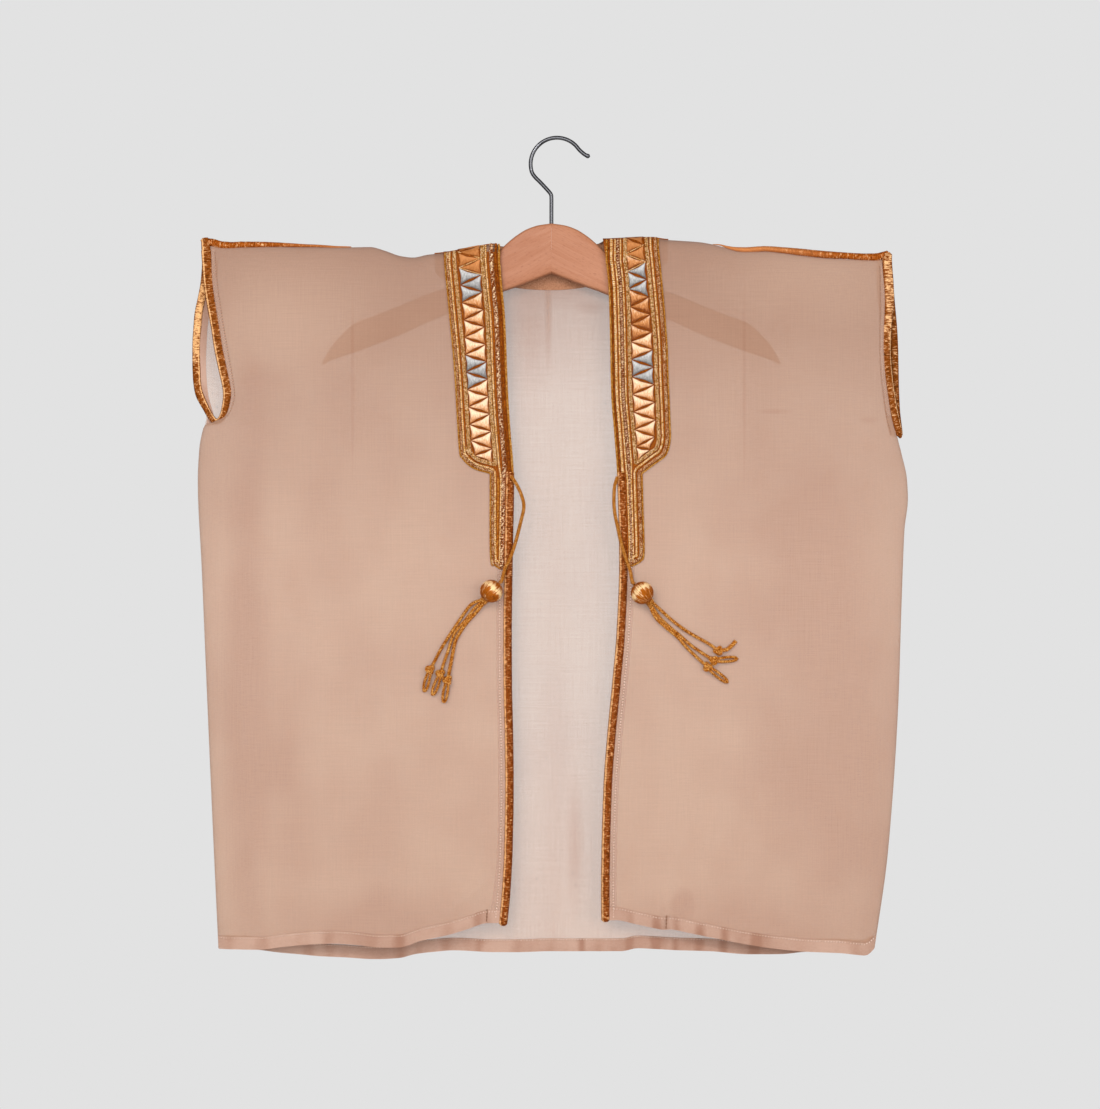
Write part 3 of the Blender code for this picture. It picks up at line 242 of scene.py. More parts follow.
# ---- soft darker patches of the cloth, lighter ones where the strength is negative: middle, half width, half height, strength ----
Shade = namedtuple("Shade", "x z wide high strength")
# painted shade on the back panel: a fold's shade, the shade under the hanger and the braid at the neck, and folds
# lower down
PAINTED_SHADES_BACK = rows(Shade,
    (-6.2, -118, 3.4, 50, 1.4), (24, -117, 14, 6, 0.7), (-18, -128, 16, 34, 0.6), (-2, -104, 40, 16, 0.7),
    (13, -498, 7.5, 62, 0.9), (-1.4, -480, 16, 330, 0.35), (-20, -150, 20, 60, 0.4))
# darker spots along the hems
HEM_SPOTS = [Shade(x, -562.0, wide, 40.0, strength) for x, wide, strength in
             ((17.5, 3.5, 1.0), (51.0, 4.0, 0.7), (69.3, 4.5, 0.9), (83.3, 3.5, 0.7), (100.0, 5.0, 0.8),
              (117.0, 4.5, 0.8), (138.6, 5.0, 0.7), (-55.0, 4.0, 0.4), (-110.0, 6.0, 0.6), (-160.0, 6.0, 0.5))]
# painted shade and painted light on the fronts: dark lines along creases, shaded folds and sides, shade near the
# hem and over the hanger's arms; negative strengths are painted light
PAINTED_SHADES_FRONT = rows(Shade,
    (-142.8, -165, 1.7, 86, 0.9), (130.8, -165, 1.7, 86, 0.9), (152, -191, 15, 2.4, 1),
    (218, -197, 9, 3.2, 0.9), (-204, -166, 24, 18, 0.8), (-150, -300, 40, 26, 0.3), (-216, -370, 20, 250, 1.2),
    (-190, -420, 26, 130, 0.8), (175, -300, 60, 130, 1), (-120, -560, 130, 40, 1.2), (110, -560, 130, 40, 1),
    (186, -84, 96, 52, -0.55), (-196, -122, 84, 62, -0.5), (100, -142, 56, 34, 0.3), (-118, -145, 34, 22, 0.4),
    (205, -430, 80, 200, 0.9), (88, -536, 10, 14, 1.4))

# ---- braid: lanes by their distance from the neck edge or from the outer edge ----
Lane = namedtuple("Lane", "kind side at width low")
LANES = {"left": rows(Lane,
    ("cord", "neck", 1.2, 1.9, -235.4), ("copper", "neck", 3.4, 1.9, -235),
    ("mottled", "neck", 6.6, 3.2, -300.6), ("bright", "neck", 10.6, 1.3, -298.2),
    ("cord", "outer", 0.7, 1.5, None), ("rope", "outer", 2.3, 2.2, None), ("bright", "outer", 4, 1.3, None)),
    "right": rows(Lane,
    ("cord", "neck", 0.9, 1.7, -235.4), ("copper", "neck", 2.5, 1.4, -235), ("bright", "neck", 4.2, 1.9, -235),
    ("bright", "neck", 6.8, 1.2, -299.5), ("mottled", "neck", 8.7, 2.2, -299),
    ("bright", "neck", 10.6, 1.1, -297), ("cord", "outer", 0.7, 1.5, None), ("rope", "outer", 2.7, 2.6, None),
    ("bright", "outer", 5.9, 1.4, None))}
# the chain's distance from the outer edge and from the neck edge, its low end and its width
CHAIN = {"left": (7.4, 12.9, -228.2, 2.5), "right": (8.7, 13.7, -227, 2.4)}
NARROW_BAND = {"left": (11.2, 1.5), "right": (12.6, 1.4)}     # from the neck edge, and width

# peaks of the zigzag between the padded triangles, from the shoulder down
PEAKS_OUTER = {"left": [
    (-69.4, -80.6), (-68.7, -90.9), (-67.7, -103), (-66.6, -115.2), (-65.3, -127.3), (-64.8, -139.4),
    (-64.3, -151.6), (-63.6, -163.7), (-62.8, -175.9), (-62, -188), (-61.3, -200.2), (-60.4, -211.3),
    (-57.7, -222)],
    "right": [
    (60.5, -75), (61.9, -86.7), (62.6, -99), (64.1, -111.2), (65.3, -123.5), (66.3, -135.7), (67, -148),
    (67.4, -160.2), (67.9, -172.5), (68.4, -184.7), (69, -197), (68.4, -208.8), (64.8, -218)]}
PEAKS_NECK = {"left": [
    (-53.2, -84.2), (-52.7, -95.7), (-52, -107.8), (-51.2, -120), (-50.5, -132.1), (-49.7, -144.3),
    (-49, -156.4), (-48.3, -168.6), (-47.6, -180.7), (-46.8, -192.9), (-45.7, -205), (-45.2, -217.1),
    (-44.6, -227.4)],
    "right": [
    (47.6, -81.3), (49, -93.5), (49.7, -105.8), (50.9, -118), (51.3, -130.3), (51.5, -142.5), (51.8, -154.8),
    (52.1, -167), (52.4, -179.3), (53.2, -191.5), (54.1, -203.8), (55, -216), (56, -226)]}
PAD_RISE = 1.5
SILVER_PADS = (2, 3, 4, 12, 13, 14)      # counted from the shoulder
COPPER_PADS = {"left": 2, "right": 1}
SATIN, SILVER, COPPER, RIM = range(4)    # places among the pads' finishes
NECK_REACH = 82.0        # half the length of the braid round the neck
CORNER_Z = -234.6        # where the wide braid ends

# ---- studio ----
LENS = 85.0
CAMERA_X, CAMERA_AWAY, CAMERA_Z = -4.9, 1837.0, -291.0
WALL_GREY = 0.7605
ROOM_LIGHT = 0.27
FLOOR_Z = -1100.0
Lamp = namedtuple("Lamp", "name place size power")
LAMPS = [Lamp("key_light", (-0.7, -2.3, 0.5), 2.2, 40.0), Lamp("fill_light", (1.4, -2.0, -0.1), 1.6, 19.0),
         Lamp("low_light", (-0.2, -2.3, -1.05), 1.4, 7.0),
         Lamp("spark_left", (-0.6, -2.2, 0.8), 0.3, 8.0), Lamp("spark_right", (0.75, -2.1, 0.5), 0.2, 3.0)]


# ---- reading the tables ----
class Profile:
    """A smooth, never overshooting curve through one column of a table, read by another column."""

    def __init__(self, table, key, column):
        rows = sorted(table, key=lambda row: getattr(row, key))
        self.at = [getattr(row, key) for row in rows]
        self.value = [getattr(row, column) for row in rows]
        rises = [(self.value[i + 1] - self.value[i]) / (self.at[i + 1] - self.at[i])
                 for i in range(len(rows) - 1)]
        inner = [0.0 if a * b <= 0 else 2 * a * b / (a + b) for a, b in zip(rises, rises[1:])]
        self.slope = [rises[0]] + inner + [rises[-1]]

    def __call__(self, at):
        at = min(max(at, self.at[0]), self.at[-1])
        i = 0
        while i < len(self.at) - 2 and at > self.at[i + 1]:
            i += 1
        span = self.at[i + 1] - self.at[i]
        t = (at - self.at[i]) / span
        return ((2 * t ** 3 - 3 * t ** 2 + 1) * self.value[i] + (t ** 3 - 2 * t ** 2 + t) * span * self.slope[i]
                + (3 * t ** 2 - 2 * t ** 3) * self.value[i + 1] + (t ** 3 - t ** 2) * span * self.slope[i + 1])


def round_in(share):
    """0 at the edge, 1 from a share of 1 on, as a quarter of an ellipse."""
    share = min(max(share, 0.0), 1.0)
    return math.sqrt(1 - (1 - share) ** 2)


opening = {side: Profile(OPENING, "z", side) for side in ("left", "right")}
cuff_end = {"left": -200.5, "right": -208.0}
SIGN = {"left": 1, "right": -1}      # towards the opening from each side


def smooth_route(points, spacing):
    """Points about a spacing apart on a smooth curve through the given ones."""
    points = [Vector(point) for point in points]
    ends = [points[0] * 2 - points[1]] + points + [points[-1] * 2 - points[-2]]
    route = []
    for before, start, stop, after in zip(ends, ends[1:], ends[2:], ends[3:]):
        steps = max(1, round((stop - start).length / spacing))
        for i in range(steps):
            t = i / steps
            route.append(0.5 * (2 * start + (stop - before) * t
                                + (2 * before - 5 * start + 4 * stop - after) * t ** 2
                                + (3 * start - before - 3 * stop + after) * t ** 3))
    return route + [points[-1]]


# ---- the view ----
def aim(piece, target):
    """Turn a lamp or camera so that it looks at a place."""
    piece.rotation_euler = (Vector(target) - piece.location).to_track_quat("-Z", "Y").to_euler()


def set_camera():
    """A long lens, straight in front of the cloak."""
    bpy.ops.object.camera_add(location=(CAMERA_X * MM, -CAMERA_AWAY * MM, CAMERA_Z * MM))
    camera = bpy.context.active_object
    camera.data.sensor_fit = "VERTICAL"
    camera.data.sensor_height = 36.0
    camera.data.lens = LENS
    aim(camera, (CAMERA_X * MM, 0, CAMERA_Z * MM))
    bpy.context.scene.camera = camera
    bpy.context.scene.view_settings.view_transform = "Standard"
    bpy.context.scene.view_settings.look = "None"


def set_lights():
    """The lamps, pale walls behind, and their even light on the cloak."""
    for lamp in LAMPS:
        bpy.ops.object.light_add(type="AREA", location=lamp.place)
        light = bpy.context.active_object
        light.name = lamp.name
        light.data.shape = "DISK"
        light.data.size = lamp.size
        light.data.energy = lamp.power
        aim(light, (0, 0, -0.28))
    world = bpy.context.scene.world or bpy.data.worlds.new("studio")
    bpy.context.scene.world = world
    world.use_nodes = True
    tree = world.node_tree
    tree.nodes.clear()
    seen, room = tree.nodes.new("ShaderNodeBackground"), tree.nodes.new("ShaderNodeBackground")
    seen.inputs["Color"].default_value = (WALL_GREY, WALL_GREY, WALL_GREY, 1)
    room.inputs["Color"].default_value = (1, 1, 1, 1)
    room.inputs["Strength"].default_value = ROOM_LIGHT
    path, mix = tree.nodes.new("ShaderNodeLightPath"), tree.nodes.new("ShaderNodeMixShader")
    out = tree.nodes.new("ShaderNodeOutputWorld")
    tree.links.new(path.outputs["Is Camera Ray"], mix.inputs["Fac"])
    tree.links.new(room.outputs[0], mix.inputs[1])
    tree.links.new(seen.outputs[0], mix.inputs[2])
    tree.links.new(mix.outputs[0], out.inputs["Surface"])


def lay_floor():
    floor = fresh(bpy.ops.mesh.primitive_circle_add, vertices=96, radius=1.5, fill_type="NGON")
    floor.name = "floor"
    for vertex in floor.data.vertices:
        vertex.co.z = FLOOR_Z * MM
    floor.data.materials.append(finishes["studio_floor"])


# ---- finishes ----
BAND = 0.314             # scale of a band wave that repeats every millimetre
GOLD_GLINT = (1.0, 0.7, 0.34, 1.0)


def fill(tree, socket, value):
    """Set a socket to a value, or join it to another socket."""
    if isinstance(value, bpy.types.NodeSocket):
        tree.links.new(value, socket)
    else:
        socket.default_value = value


def node(tree, kind, inputs, **settings):
    """Add a node: its properties, and its inputs by name or number, each a value or a socket."""
    made = tree.nodes.new("ShaderNode" + kind)
    for key, value in settings.items():
        setattr(made, key, value)
    for key, value in inputs.items():
        fill(tree, made.inputs[key], value)
    return made


def start_finish(name, **constants):
    """A new material, with what is the same all over set on its shader."""
    material = bpy.data.materials.new(name)
    material.use_nodes = True
    shader = material.node_tree.nodes["Principled BSDF"]
    for key, value in constants.items():
        shader.inputs[key.replace("_", " ")].default_value = value
    return material, material.node_tree, shader


def millimetres(tree, scale=(1, 1, 1), turn=(0, 0, 0), threads=False):
    """Coordinates in millimetres: of the piece, or along and round its threads."""
    source = node(tree, "TexCoord", {}).outputs["UV" if threads else "Object"]
    unit = 1 if threads else 1 / MM
    return node(tree, "Mapping", {"Vector": source, "Scale": tuple(unit * s for s in scale),
                                  "Rotation": turn}).outputs[0]


def part_of(tree, vector, index):
    """One coordinate: 0 is X, 1 is Y and 2 is Z."""
    return node(tree, "SeparateXYZ", {"Vector": vector}).outputs[index]


def blend_colours(tree, share, first, second):
    """A colour between two, by a share; each may be a colour or a socket."""
    return node(tree, "Mix", {0: share, 6: first, 7: second}, data_type="RGBA").outputs[2]


def narrowed(tree, value, low, high, to_low=0.0, to_high=1.0):
    """A value's range from low to high, spread over another range."""
    return node(tree, "MapRange", {"Value": value, "From Min": low, "From Max": high,
                                   "To Min": to_low, "To Max": to_high}).outputs[0]


def math_node(tree, operation, first, second=0.0):
    return node(tree, "Math", {0: first, 1: second}, operation=operation).outputs[0]


def times(tree, first, second):
    return math_node(tree, "MULTIPLY", first, second)


def plus(tree, first, *others):
    """The sum of values."""
    for other in others:
        first = math_node(tree, "ADD", first, other)
    return first


def rgb(red, green, blue):
    """A display colour of 0 to 255 as the shader's own numbers."""
    def straight(value):
        value /= 255
        return value / 12.92 if value <= 0.04045 else ((value + 0.055) / 1.055) ** 2.4
    return straight(red), straight(green), straight(blue), 1.0


def ramp(tree, value, *stops):
    """Colours along a value: pairs of a position and a colour."""
    made = node(tree, "ValToRGB", {0: value})
    elements = made.color_ramp.elements
    while len(elements) < len(stops):
        elements.new(0.5)
    for element, (position, colour) in zip(elements, stops):
        element.position, element.color = position, colour
    return made.outputs[0]


def noise_node(tree, vector, scale, detail=2.0, rough=0.5, distortion=0.0):
    return node(tree, "TexNoise", {"Vector": vector, "Scale": scale, "Detail": detail, "Roughness": rough,
                                   "Distortion": distortion}).outputs[0]


def bands(tree, vector, direction, pitch, **more):
    """Even bands a pitch apart."""
    return node(tree, "TexWave", {"Vector": vector, "Scale": BAND / pitch, **more}, wave_type="BANDS",
                bands_direction=direction).outputs[1]


def close_finish(material, colour, relief=None, coated=False):
    """Join a finish's colour and its relief, given as strength, depth in metres and height."""
    tree = material.node_tree
    shader = tree.nodes["Principled BSDF"]
    tree.links.new(colour, shader.inputs["Base Color"])
    if relief:
        bump = node(tree, "Bump", dict(zip(("Strength", "Distance", "Height"), relief))).outputs[0]
        tree.links.new(bump, shader.inputs["Normal"])
        if coated:
            tree.links.new(bump, shader.inputs["Coat Normal"])
    return material


def cloth_finish(name, colour, shaded, cover, dim=None, denser=(0.0, 0.0), flecks=False, shades=(), blotches=0.0,
                 reach=-300):
    """Sheer plain weave: warp and weft streaks, a fine weave in relief, and its see-through gaps.

    cover is how much of the view the threads close. The colour given for the shoulders is painted shade, taken on
    from the level of reach up; the extra cover for the shoulders and the hem closes the weave more there, partly
    as painted shade.
    """
    material, tree, shader = start_finish(name, Roughness=0.75, Specular_IOR_Level=0.2, Sheen_Weight=0.12,
                                          Sheen_Roughness=0.4)
    place = millimetres(tree)
    streak = plus(tree, noise_node(tree, millimetres(tree, (1.9, 1.9, 0.035)), 1.0, 2.0, 0.6),
                  noise_node(tree, millimetres(tree, (0.035, 1.9, 1.7)), 1.0, 2.0, 0.6))
    grain = noise_node(tree, millimetres(tree, (0.7, 1, 1.3)), 0.9, 3.0, 0.8)
    cloud = plus(tree, noise_node(tree, millimetres(tree, (1, 1, 0.6)), 0.012, 1.0, 0.5),
                 noise_node(tree, millimetres(tree, (1, 1, 0.75), (0, 0.5, 0)), 0.03, 1.0, 0.5))
    height = part_of(tree, place, 2)
    # high rises towards the shoulders and low towards the hem: they lay on the painted shade there
    high, low = narrowed(tree, height, reach, -78), narrowed(tree, height, -380, -560)
    relief = plus(tree, *(bands(tree, place, direction, WEAVE_PITCH) for direction in ("X", "Z")))
    tone = plus(tree, narrowed(tree, streak, 0.75, 1.25, -0.10, 0.10),
                narrowed(tree, cloud, 0.75, 1.25, -0.05, 0.55), narrowed(tree, grain, 0.35, 0.65, -0.14, 0.14))
    shade_cover = times(tree, tone, 0.0)
    # each row paints a soft darker patch, painted shade; a negative strength paints a lighter patch, painted
    # light, that also takes back the painted shade towards the shoulders
    for shade in shades:
        away = node(tree, "Mapping", {"Vector": place, "Location": (-shade.x, 0, -shade.z)}).outputs[0]
        away = node(tree, "Mapping", {"Vector": away, "Scale": (1 / shade.wide, 0, 1 / shade.high)}).outputs[0]
        length = node(tree, "VectorMath", {"Vector": away}, operation="LENGTH").outputs[1]
        painted_shade = narrowed(tree, length, 0.1, 1.0, shade.strength, 0.0)
        tone = plus(tree, tone, painted_shade)
        if shade.strength < 0:
            high = plus(tree, high, painted_shade)
        # on the back panel painted shade also closes the weave, which darkens it further
        elif flecks:
            shade_cover = plus(tree, shade_cover, painted_shade)
    if blotches:
        spots = noise_node(tree, millimetres(tree, (1, 0, 0.5)), 0.06, 1.0)
        tone = plus(tree, tone, narrowed(tree, spots, 0.5, 0.68, 0.0, blotches))
    base = blend_colours(tree, tone, colour, shaded)
    if flecks:
        fleck = narrowed(tree, noise_node(tree, millimetres(tree, (1.2, 1, 0.8)), 0.5, 0.0), 0.81, 0.83)
        base = blend_colours(tree, fleck, base, tuple(0.6 * part for part in shaded[:3]) + (1,))
    # painted shade: the colour darkens towards the shoulders
    if dim:
        base = blend_colours(tree, times(tree, high, 0.8), base, dim)
    # closer weave at the shoulders, at the hem and under painted shade on the back, partly as painted shade
    closed = plus(tree, narrowed(tree, streak, 0.7, 1.3, cover - 0.04, cover + 0.04),
                  narrowed(tree, relief, 0.0, 2.0, -0.04, 0.04), times(tree, high, denser[0]),
                  times(tree, low, denser[1]), times(tree, shade_cover, 0.09))
    tree.links.new(closed, shader.inputs["Alpha"])
    return close_finish(material, base, (0.3, 0.0002, plus(tree, relief, streak)))


def thread_finish(name, deep, middle, pale, pitch=0.6, slant=4, relief=0.8, shine=0.3, sparkle=1.0):
    """Silky metal thread: fine slanting threads, mottled from deep through middle to pale; the pale specks are
    painted glints.
    """
    material, tree, shader = start_finish(name, Roughness=shine, Specular_IOR_Level=0.4, Metallic=0.2,
                                          Specular_Tint=GOLD_GLINT, Coat_Weight=0.03, Coat_Roughness=0.2)
    along = millimetres(tree, (1, slant, 1), (0, 0, 0.6), threads=True)
    threads = bands(tree, along, "X", pitch, Distortion=2.5, Detail=1.0)
    mottle = noise_node(tree, millimetres(tree), 0.4, 2.0, 0.7)
    spark = noise_node(tree, millimetres(tree), 1.25, 2.0, 0.7)
    share = plus(tree, times(tree, mottle, 0.3), times(tree, spark, 0.7),
                 narrowed(tree, threads, 0, 1, -0.05, 0.05))
    spread = 0.12 / sparkle
    # the pale stop gives bright specks: painted glints
    colour = ramp(tree, narrowed(tree, share, 0.5 - spread, 0.5 + spread), (0.0, deep), (0.36, middle),
                  (0.6, middle), (0.86, pale))
    tree.links.new(narrowed(tree, spark, 0.3, 0.7, shine - 0.08, shine + 0.14), shader.inputs["Roughness"])
    return close_finish(material, colour, (relief, 0.0005, plus(tree, threads, times(tree, spark, 1.6))), True)


def wound_finish(name, deep, middle, pale, cells, contrast, painted_highlights, relief=1.0, fade=None, soft=5):
    """Silk threads wound round a core: fine streaks from deep to pale, the pale ones painted glints that catch the
    light one by one.

    cells are the streaks to a millimetre along and to a turn around; each painted highlight brightens a stretch:
    its middle and half width around, its first and last millimetre along, and its strength; soft is how
    far its ends fade. fade is two distances aside from the middle and the colour the nearer side takes.
    """
    material, tree, shader = start_finish(name, Roughness=0.36, Metallic=0.15, Specular_IOR_Level=0.2,
                                          Specular_Tint=GOLD_GLINT, Coat_Weight=0.02, Coat_Roughness=0.22)
    streaks = noise_node(tree, millimetres(tree, cells + (1,), threads=True), 1.0, 3.0, 0.75)
    broad = noise_node(tree, millimetres(tree), 0.3, 2.0)
    share = plus(tree, streaks, narrowed(tree, broad, 0.3, 0.7, -0.05, 0.05))
    parts = node(tree, "SeparateXYZ", {"Vector": millimetres(tree, threads=True)})
    # painted highlights: a paler band along part of the cord, binding or bead
    for middle_turn, half, first, last, strength in painted_highlights:
        aside = math_node(tree, "ABSOLUTE", math_node(tree, "SUBTRACT", parts.outputs[1], middle_turn))
        begun = narrowed(tree, parts.outputs[0], first - soft, first + soft)
        ended = narrowed(tree, parts.outputs[0], last - soft, last + soft, 1.0, 0.0)
        lit = times(tree, narrowed(tree, aside, half * 0.6, half, strength, 0.0), times(tree, begun, ended))
        share = plus(tree, share, lit)
    spread = 0.15 / contrast
    colour = ramp(tree, narrowed(tree, share, 0.5 - spread, 0.5 + spread), (0.08, deep), (0.4, middle),
                  (0.66, middle), (1.0, pale))
    if fade:
        aside = math_node(tree, "ABSOLUTE", part_of(tree, millimetres(tree), 0))
        colour = blend_colours(tree, narrowed(tree, aside, fade[0], fade[1]), fade[2], colour)
    return close_finish(material, colour, (relief, 0.0008, streaks), True)


def satin_finish(name, deep, middle, pale, shine, tint=(1.0, 0.78, 0.5)):
    """Satin stitch over padding: fine upright threads, with painted shade that deepens the colour towards a pad's
    lower side and a painted highlight that pales its upper side.
    """
    material, tree, shader = start_finish(name, Roughness=shine, Metallic=0.1, Specular_IOR_Level=0.45,
                                          Specular_Tint=tint + (1.0,))
    threads = bands(tree, millimetres(tree), "X", 0.5, **{"Distortion": 2.0, "Detail": 2.0, "Detail Scale": 2.0})
    mottle = noise_node(tree, millimetres(tree, (1.6, 1, 0.5)), 1.1, 3.0, 0.7)
    parts = node(tree, "SeparateXYZ", {"Vector": millimetres(tree, threads=True)})
    # painted light: the share up the pad, from the first thread coordinate, pales the upper side and deepens the
    # lower side
    rise = plus(tree, parts.outputs[0], narrowed(tree, mottle, 0.3, 0.7, -0.28, 0.28),
                narrowed(tree, threads, 0, 1, -0.06, 0.06), times(tree, parts.outputs[1], -0.45))
    colour = ramp(tree, narrowed(tree, rise, -0.35, 1.05), (0.0, deep), (0.36, middle), (0.75, pale), (1.0, pale))
    return close_finish(material, colour, (0.5, 0.0002, plus(tree, threads, mottle)))


def ground_finish(name, deep, middle, pale):
    """The braid's woven ground between its raised threads."""
    material, tree, shader = start_finish(name, Roughness=0.5, Specular_IOR_Level=0.2,
                                          Specular_Tint=(1.0, 0.7, 0.36, 1.0))
    flecks = noise_node(tree, millimetres(tree, (1.3, 1, 1.0)), 1.1, 3.0, 0.8)
    colour = ramp(tree, narrowed(tree, flecks, 0.34, 0.66), (0.0, deep), (0.4, middle), (0.7, middle), (1.0, pale))
    return close_finish(material, colour, (0.6, 0.0003, flecks))


def wood_finish(name, slope, fine):
    """Steamed beech: long faint grain down the arm, short dark rays, a waxed face."""
    material, tree, shader = start_finish(name, Roughness=0.5, Specular_IOR_Level=0.35, Coat_Weight=0.06,
                                          Coat_Roughness=0.35)
    place = millimetres(tree)
    turned = node(tree, "Mapping", {"Vector": place, "Rotation": (0, math.radians(slope), 0)}).outputs[0]

    def along(scale):
        return node(tree, "Mapping", {"Vector": turned, "Scale": scale}).outputs[0]

    grain = noise_node(tree, along((0.03, 0.3, 0.8) if fine else (0.05, 0.3, 0.45)), 1.0, 3.0, 0.65, 0.3)
    rays = noise_node(tree, along((0.32, 0.7, 2.4) if fine else (0.42, 0.7, 2.0)), 1.0, 1.0)
    cloud = noise_node(tree, place, 0.02, 1.0)
    base = blend_colours(tree, narrowed(tree, plus(tree, grain, cloud), 0.75, 1.25), rgb(181, 121, 88),
                         rgb(168, 106, 73))
    colour = blend_colours(tree, narrowed(tree, rays, 0.6, 0.72, 0.0, 0.5), base, rgb(142, 82, 54))
    tree.links.new(narrowed(tree, grain, 0.3, 0.7, 0.42, 0.58), shader.inputs["Roughness"])
    return close_finish(material, colour, (0.2, 0.0002, math_node(tree, "SUBTRACT", grain, rays)))


def steel_finish(name):
    """Dark bright-plated wire with faint drawing lines."""
    material, tree, shader = start_finish(name, Metallic=1.0, Roughness=0.16)
    wear = noise_node(tree, millimetres(tree), 0.8, 4.0)
    tree.links.new(narrowed(tree, wear, 0.3, 0.7, 0.1, 0.24), shader.inputs["Roughness"])
    return close_finish(material, blend_colours(tree, wear, (0.05, 0.05, 0.055, 1), (0.16, 0.16, 0.17, 1)))


def floor_finish(name):
    """Plain pale matt board."""
    material, tree, shader = start_finish(name, Roughness=0.9)
    soft = noise_node(tree, millimetres(tree), 0.01)
    return close_finish(material, blend_colours(tree, soft, (0.70, 0.70, 0.70, 1), (0.74, 0.74, 0.74, 1)))


# ---- making bodies ----
def even_route(route, spacing):
    """The same route of places and outward directions, at an even spacing."""
    lengths = [0.0]
    for (a, _), (b, _) in zip(route, route[1:]):
        lengths.append(lengths[-1] + (b - a).length)
    count = max(2, round(lengths[-1] / spacing))
    made, i = [], 0
    for k in range(count + 1):
        at = lengths[-1] * k / count
        while i < len(route) - 2 and at > lengths[i + 1]:
            i += 1
        share = (at - lengths[i]) / max(lengths[i + 1] - lengths[i], 1e-9)
        made.append((route[i][0].lerp(route[i + 1][0], share),
                     route[i][1].lerp(route[i + 1][1], share).normalized()))
    return made


def heading(points, i):
    """The direction of a row of points at one of them."""
    return (points[min(i + 1, len(points) - 1)] - points[max(i - 1, 0)]).normalized()


def with_directions(points):
    """Carry an outward direction along free points without twisting it."""
    route, out = [], Vector((0, -1, 0))
    for i, point in enumerate(points):
        along = heading(points, i)
        out = (out - along * out.dot(along)).normalized()
        route.append((point, out.copy()))
    return route


def strands_of(route, count, spread, pitch, flat=1.0, plaited=False):
    """The strands of a rope, or of a flat plait, wound round one route."""
    made = [[] for _ in range(count)]
    points, run = [point for point, _ in route], 0.0
    for i, (point, out) in enumerate(route):
        if i:
            run += (point - points[i - 1]).length
        side = heading(points, i).cross(out).normalized()
        for k in range(count):
            angle = TURN * (run / pitch + k / count)
            lift = math.sin(2 * angle) * 0.5 if plaited else math.sin(angle)
            made[k].append((point + side * math.cos(angle) * spread + out * lift * spread * flat, out))
    return made


class Gathered:
    """Bodies swept along routes, gathered into one closed-shell mesh with thread coordinates."""

    def __init__(self):
        self.points, self.faces, self.threads, self.finish_of = [], [], [], []

    def sweep(self, route, radius, sides=6, wide=1.0, finish=0, taper=0.0):
        """A round or flattened body along a route; taper is the length over which its ends close."""
        points, runs, run = [point for point, _ in route], [], 0.0
        count, first, total = len(route), len(self.points), run_of(route)
        for i, (point, out) in enumerate(route):
            if i:
                run += (point - points[i - 1]).length
            runs.append(run)
            along = heading(points, i)
            side = along.cross(out).normalized()
            up = side.cross(along)
            size = radius
            if taper:
                near = min(run, total - run) / taper
                size *= 0.35 + 0.65 * round_in(near)
            for k in range(sides):
                angle = TURN * k / sides
                self.points.append(point + side * math.cos(angle) * size * wide + up * math.sin(angle) * size)
        for i in range(count - 1):
            for k in range(sides):
                a, b = first + i * sides + k, first + i * sides + (k + 1) % sides
                here, next_turn = k / sides, (k + 1) / sides
                self.face((a, b, b + sides, a + sides), ((runs[i], here), (runs[i], next_turn),
                                                         (runs[i + 1], next_turn), (runs[i + 1], here)), finish)
        for end, order in ((0, -1), (count - 1, 1)):
            ring = [first + end * sides + k for k in range(sides)][::order]
            self.face(tuple(ring), tuple((runs[end], 0.0) for _ in ring), finish)

    def face(self, corners, threads, finish):
        self.faces.append(corners)
        self.threads.append(threads)
        self.finish_of.append(finish)

    def make(self, name):
        """The mesh of all that was gathered."""
        mesh = bpy.data.meshes.new(name)
        mesh.from_pydata([point * MM for point in self.points], [], self.faces)
        layer = mesh.uv_layers.new(name="threads")
        spot = 0
        for corners in self.threads:
            for pair in corners:
                layer.data[spot].uv = pair
                spot += 1
        for face, finish in zip(mesh.polygons, self.finish_of):
            face.material_index = finish
        mesh.shade_smooth()
        mesh.set_sharp_from_angle(angle=math.radians(60))
        piece = bpy.data.objects.new(name, mesh)
        bpy.context.collection.objects.link(piece)
        return piece


def dress(piece, finish_names, slot, *nodes):
    """Give a piece its finishes and hide the solids it replaces; its slot is not used."""
    for finish in finish_names:
        piece.data.materials.append(finishes[finish])
    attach(piece, "root")
    if nodes:
        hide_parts(*nodes)
    return piece


def take(piece):
    """Select one piece and nothing else."""
    bpy.ops.object.select_all(action="DESELECT")
    piece.select_set(True)
    bpy.context.view_layer.objects.active = piece


def fresh(add, **settings):
    """A new primitive at the origin, with nothing else selected."""
    bpy.ops.object.select_all(action="DESELECT")
    add(location=(0, 0, 0), **settings)
    return bpy.context.active_object


def apply_modifier(piece, kind, **settings):
    """Finish a piece with one modifier, applied."""
    take(piece)
    modifier = piece.modifiers.new(kind.lower(), kind)
    for key, value in settings.items():
        setattr(modifier, key, value)
    bpy.ops.object.modifier_apply(modifier=modifier.name)


def flat_grid(name, across, down):
    """A fresh grid at the origin whose corners run from 0 to 1 across and down."""
    piece = fresh(bpy.ops.mesh.primitive_grid_add, x_subdivisions=across, y_subdivisions=down, size=1)
    piece.name = name
    return piece


def move_grid(piece, place):
    """Move each corner of a fresh grid to the place for its shares across and down."""
    for vertex in piece.data.vertices:
        vertex.co = place(vertex.co.x + 0.5, 0.5 - vertex.co.y) * MM
    piece.data.update()


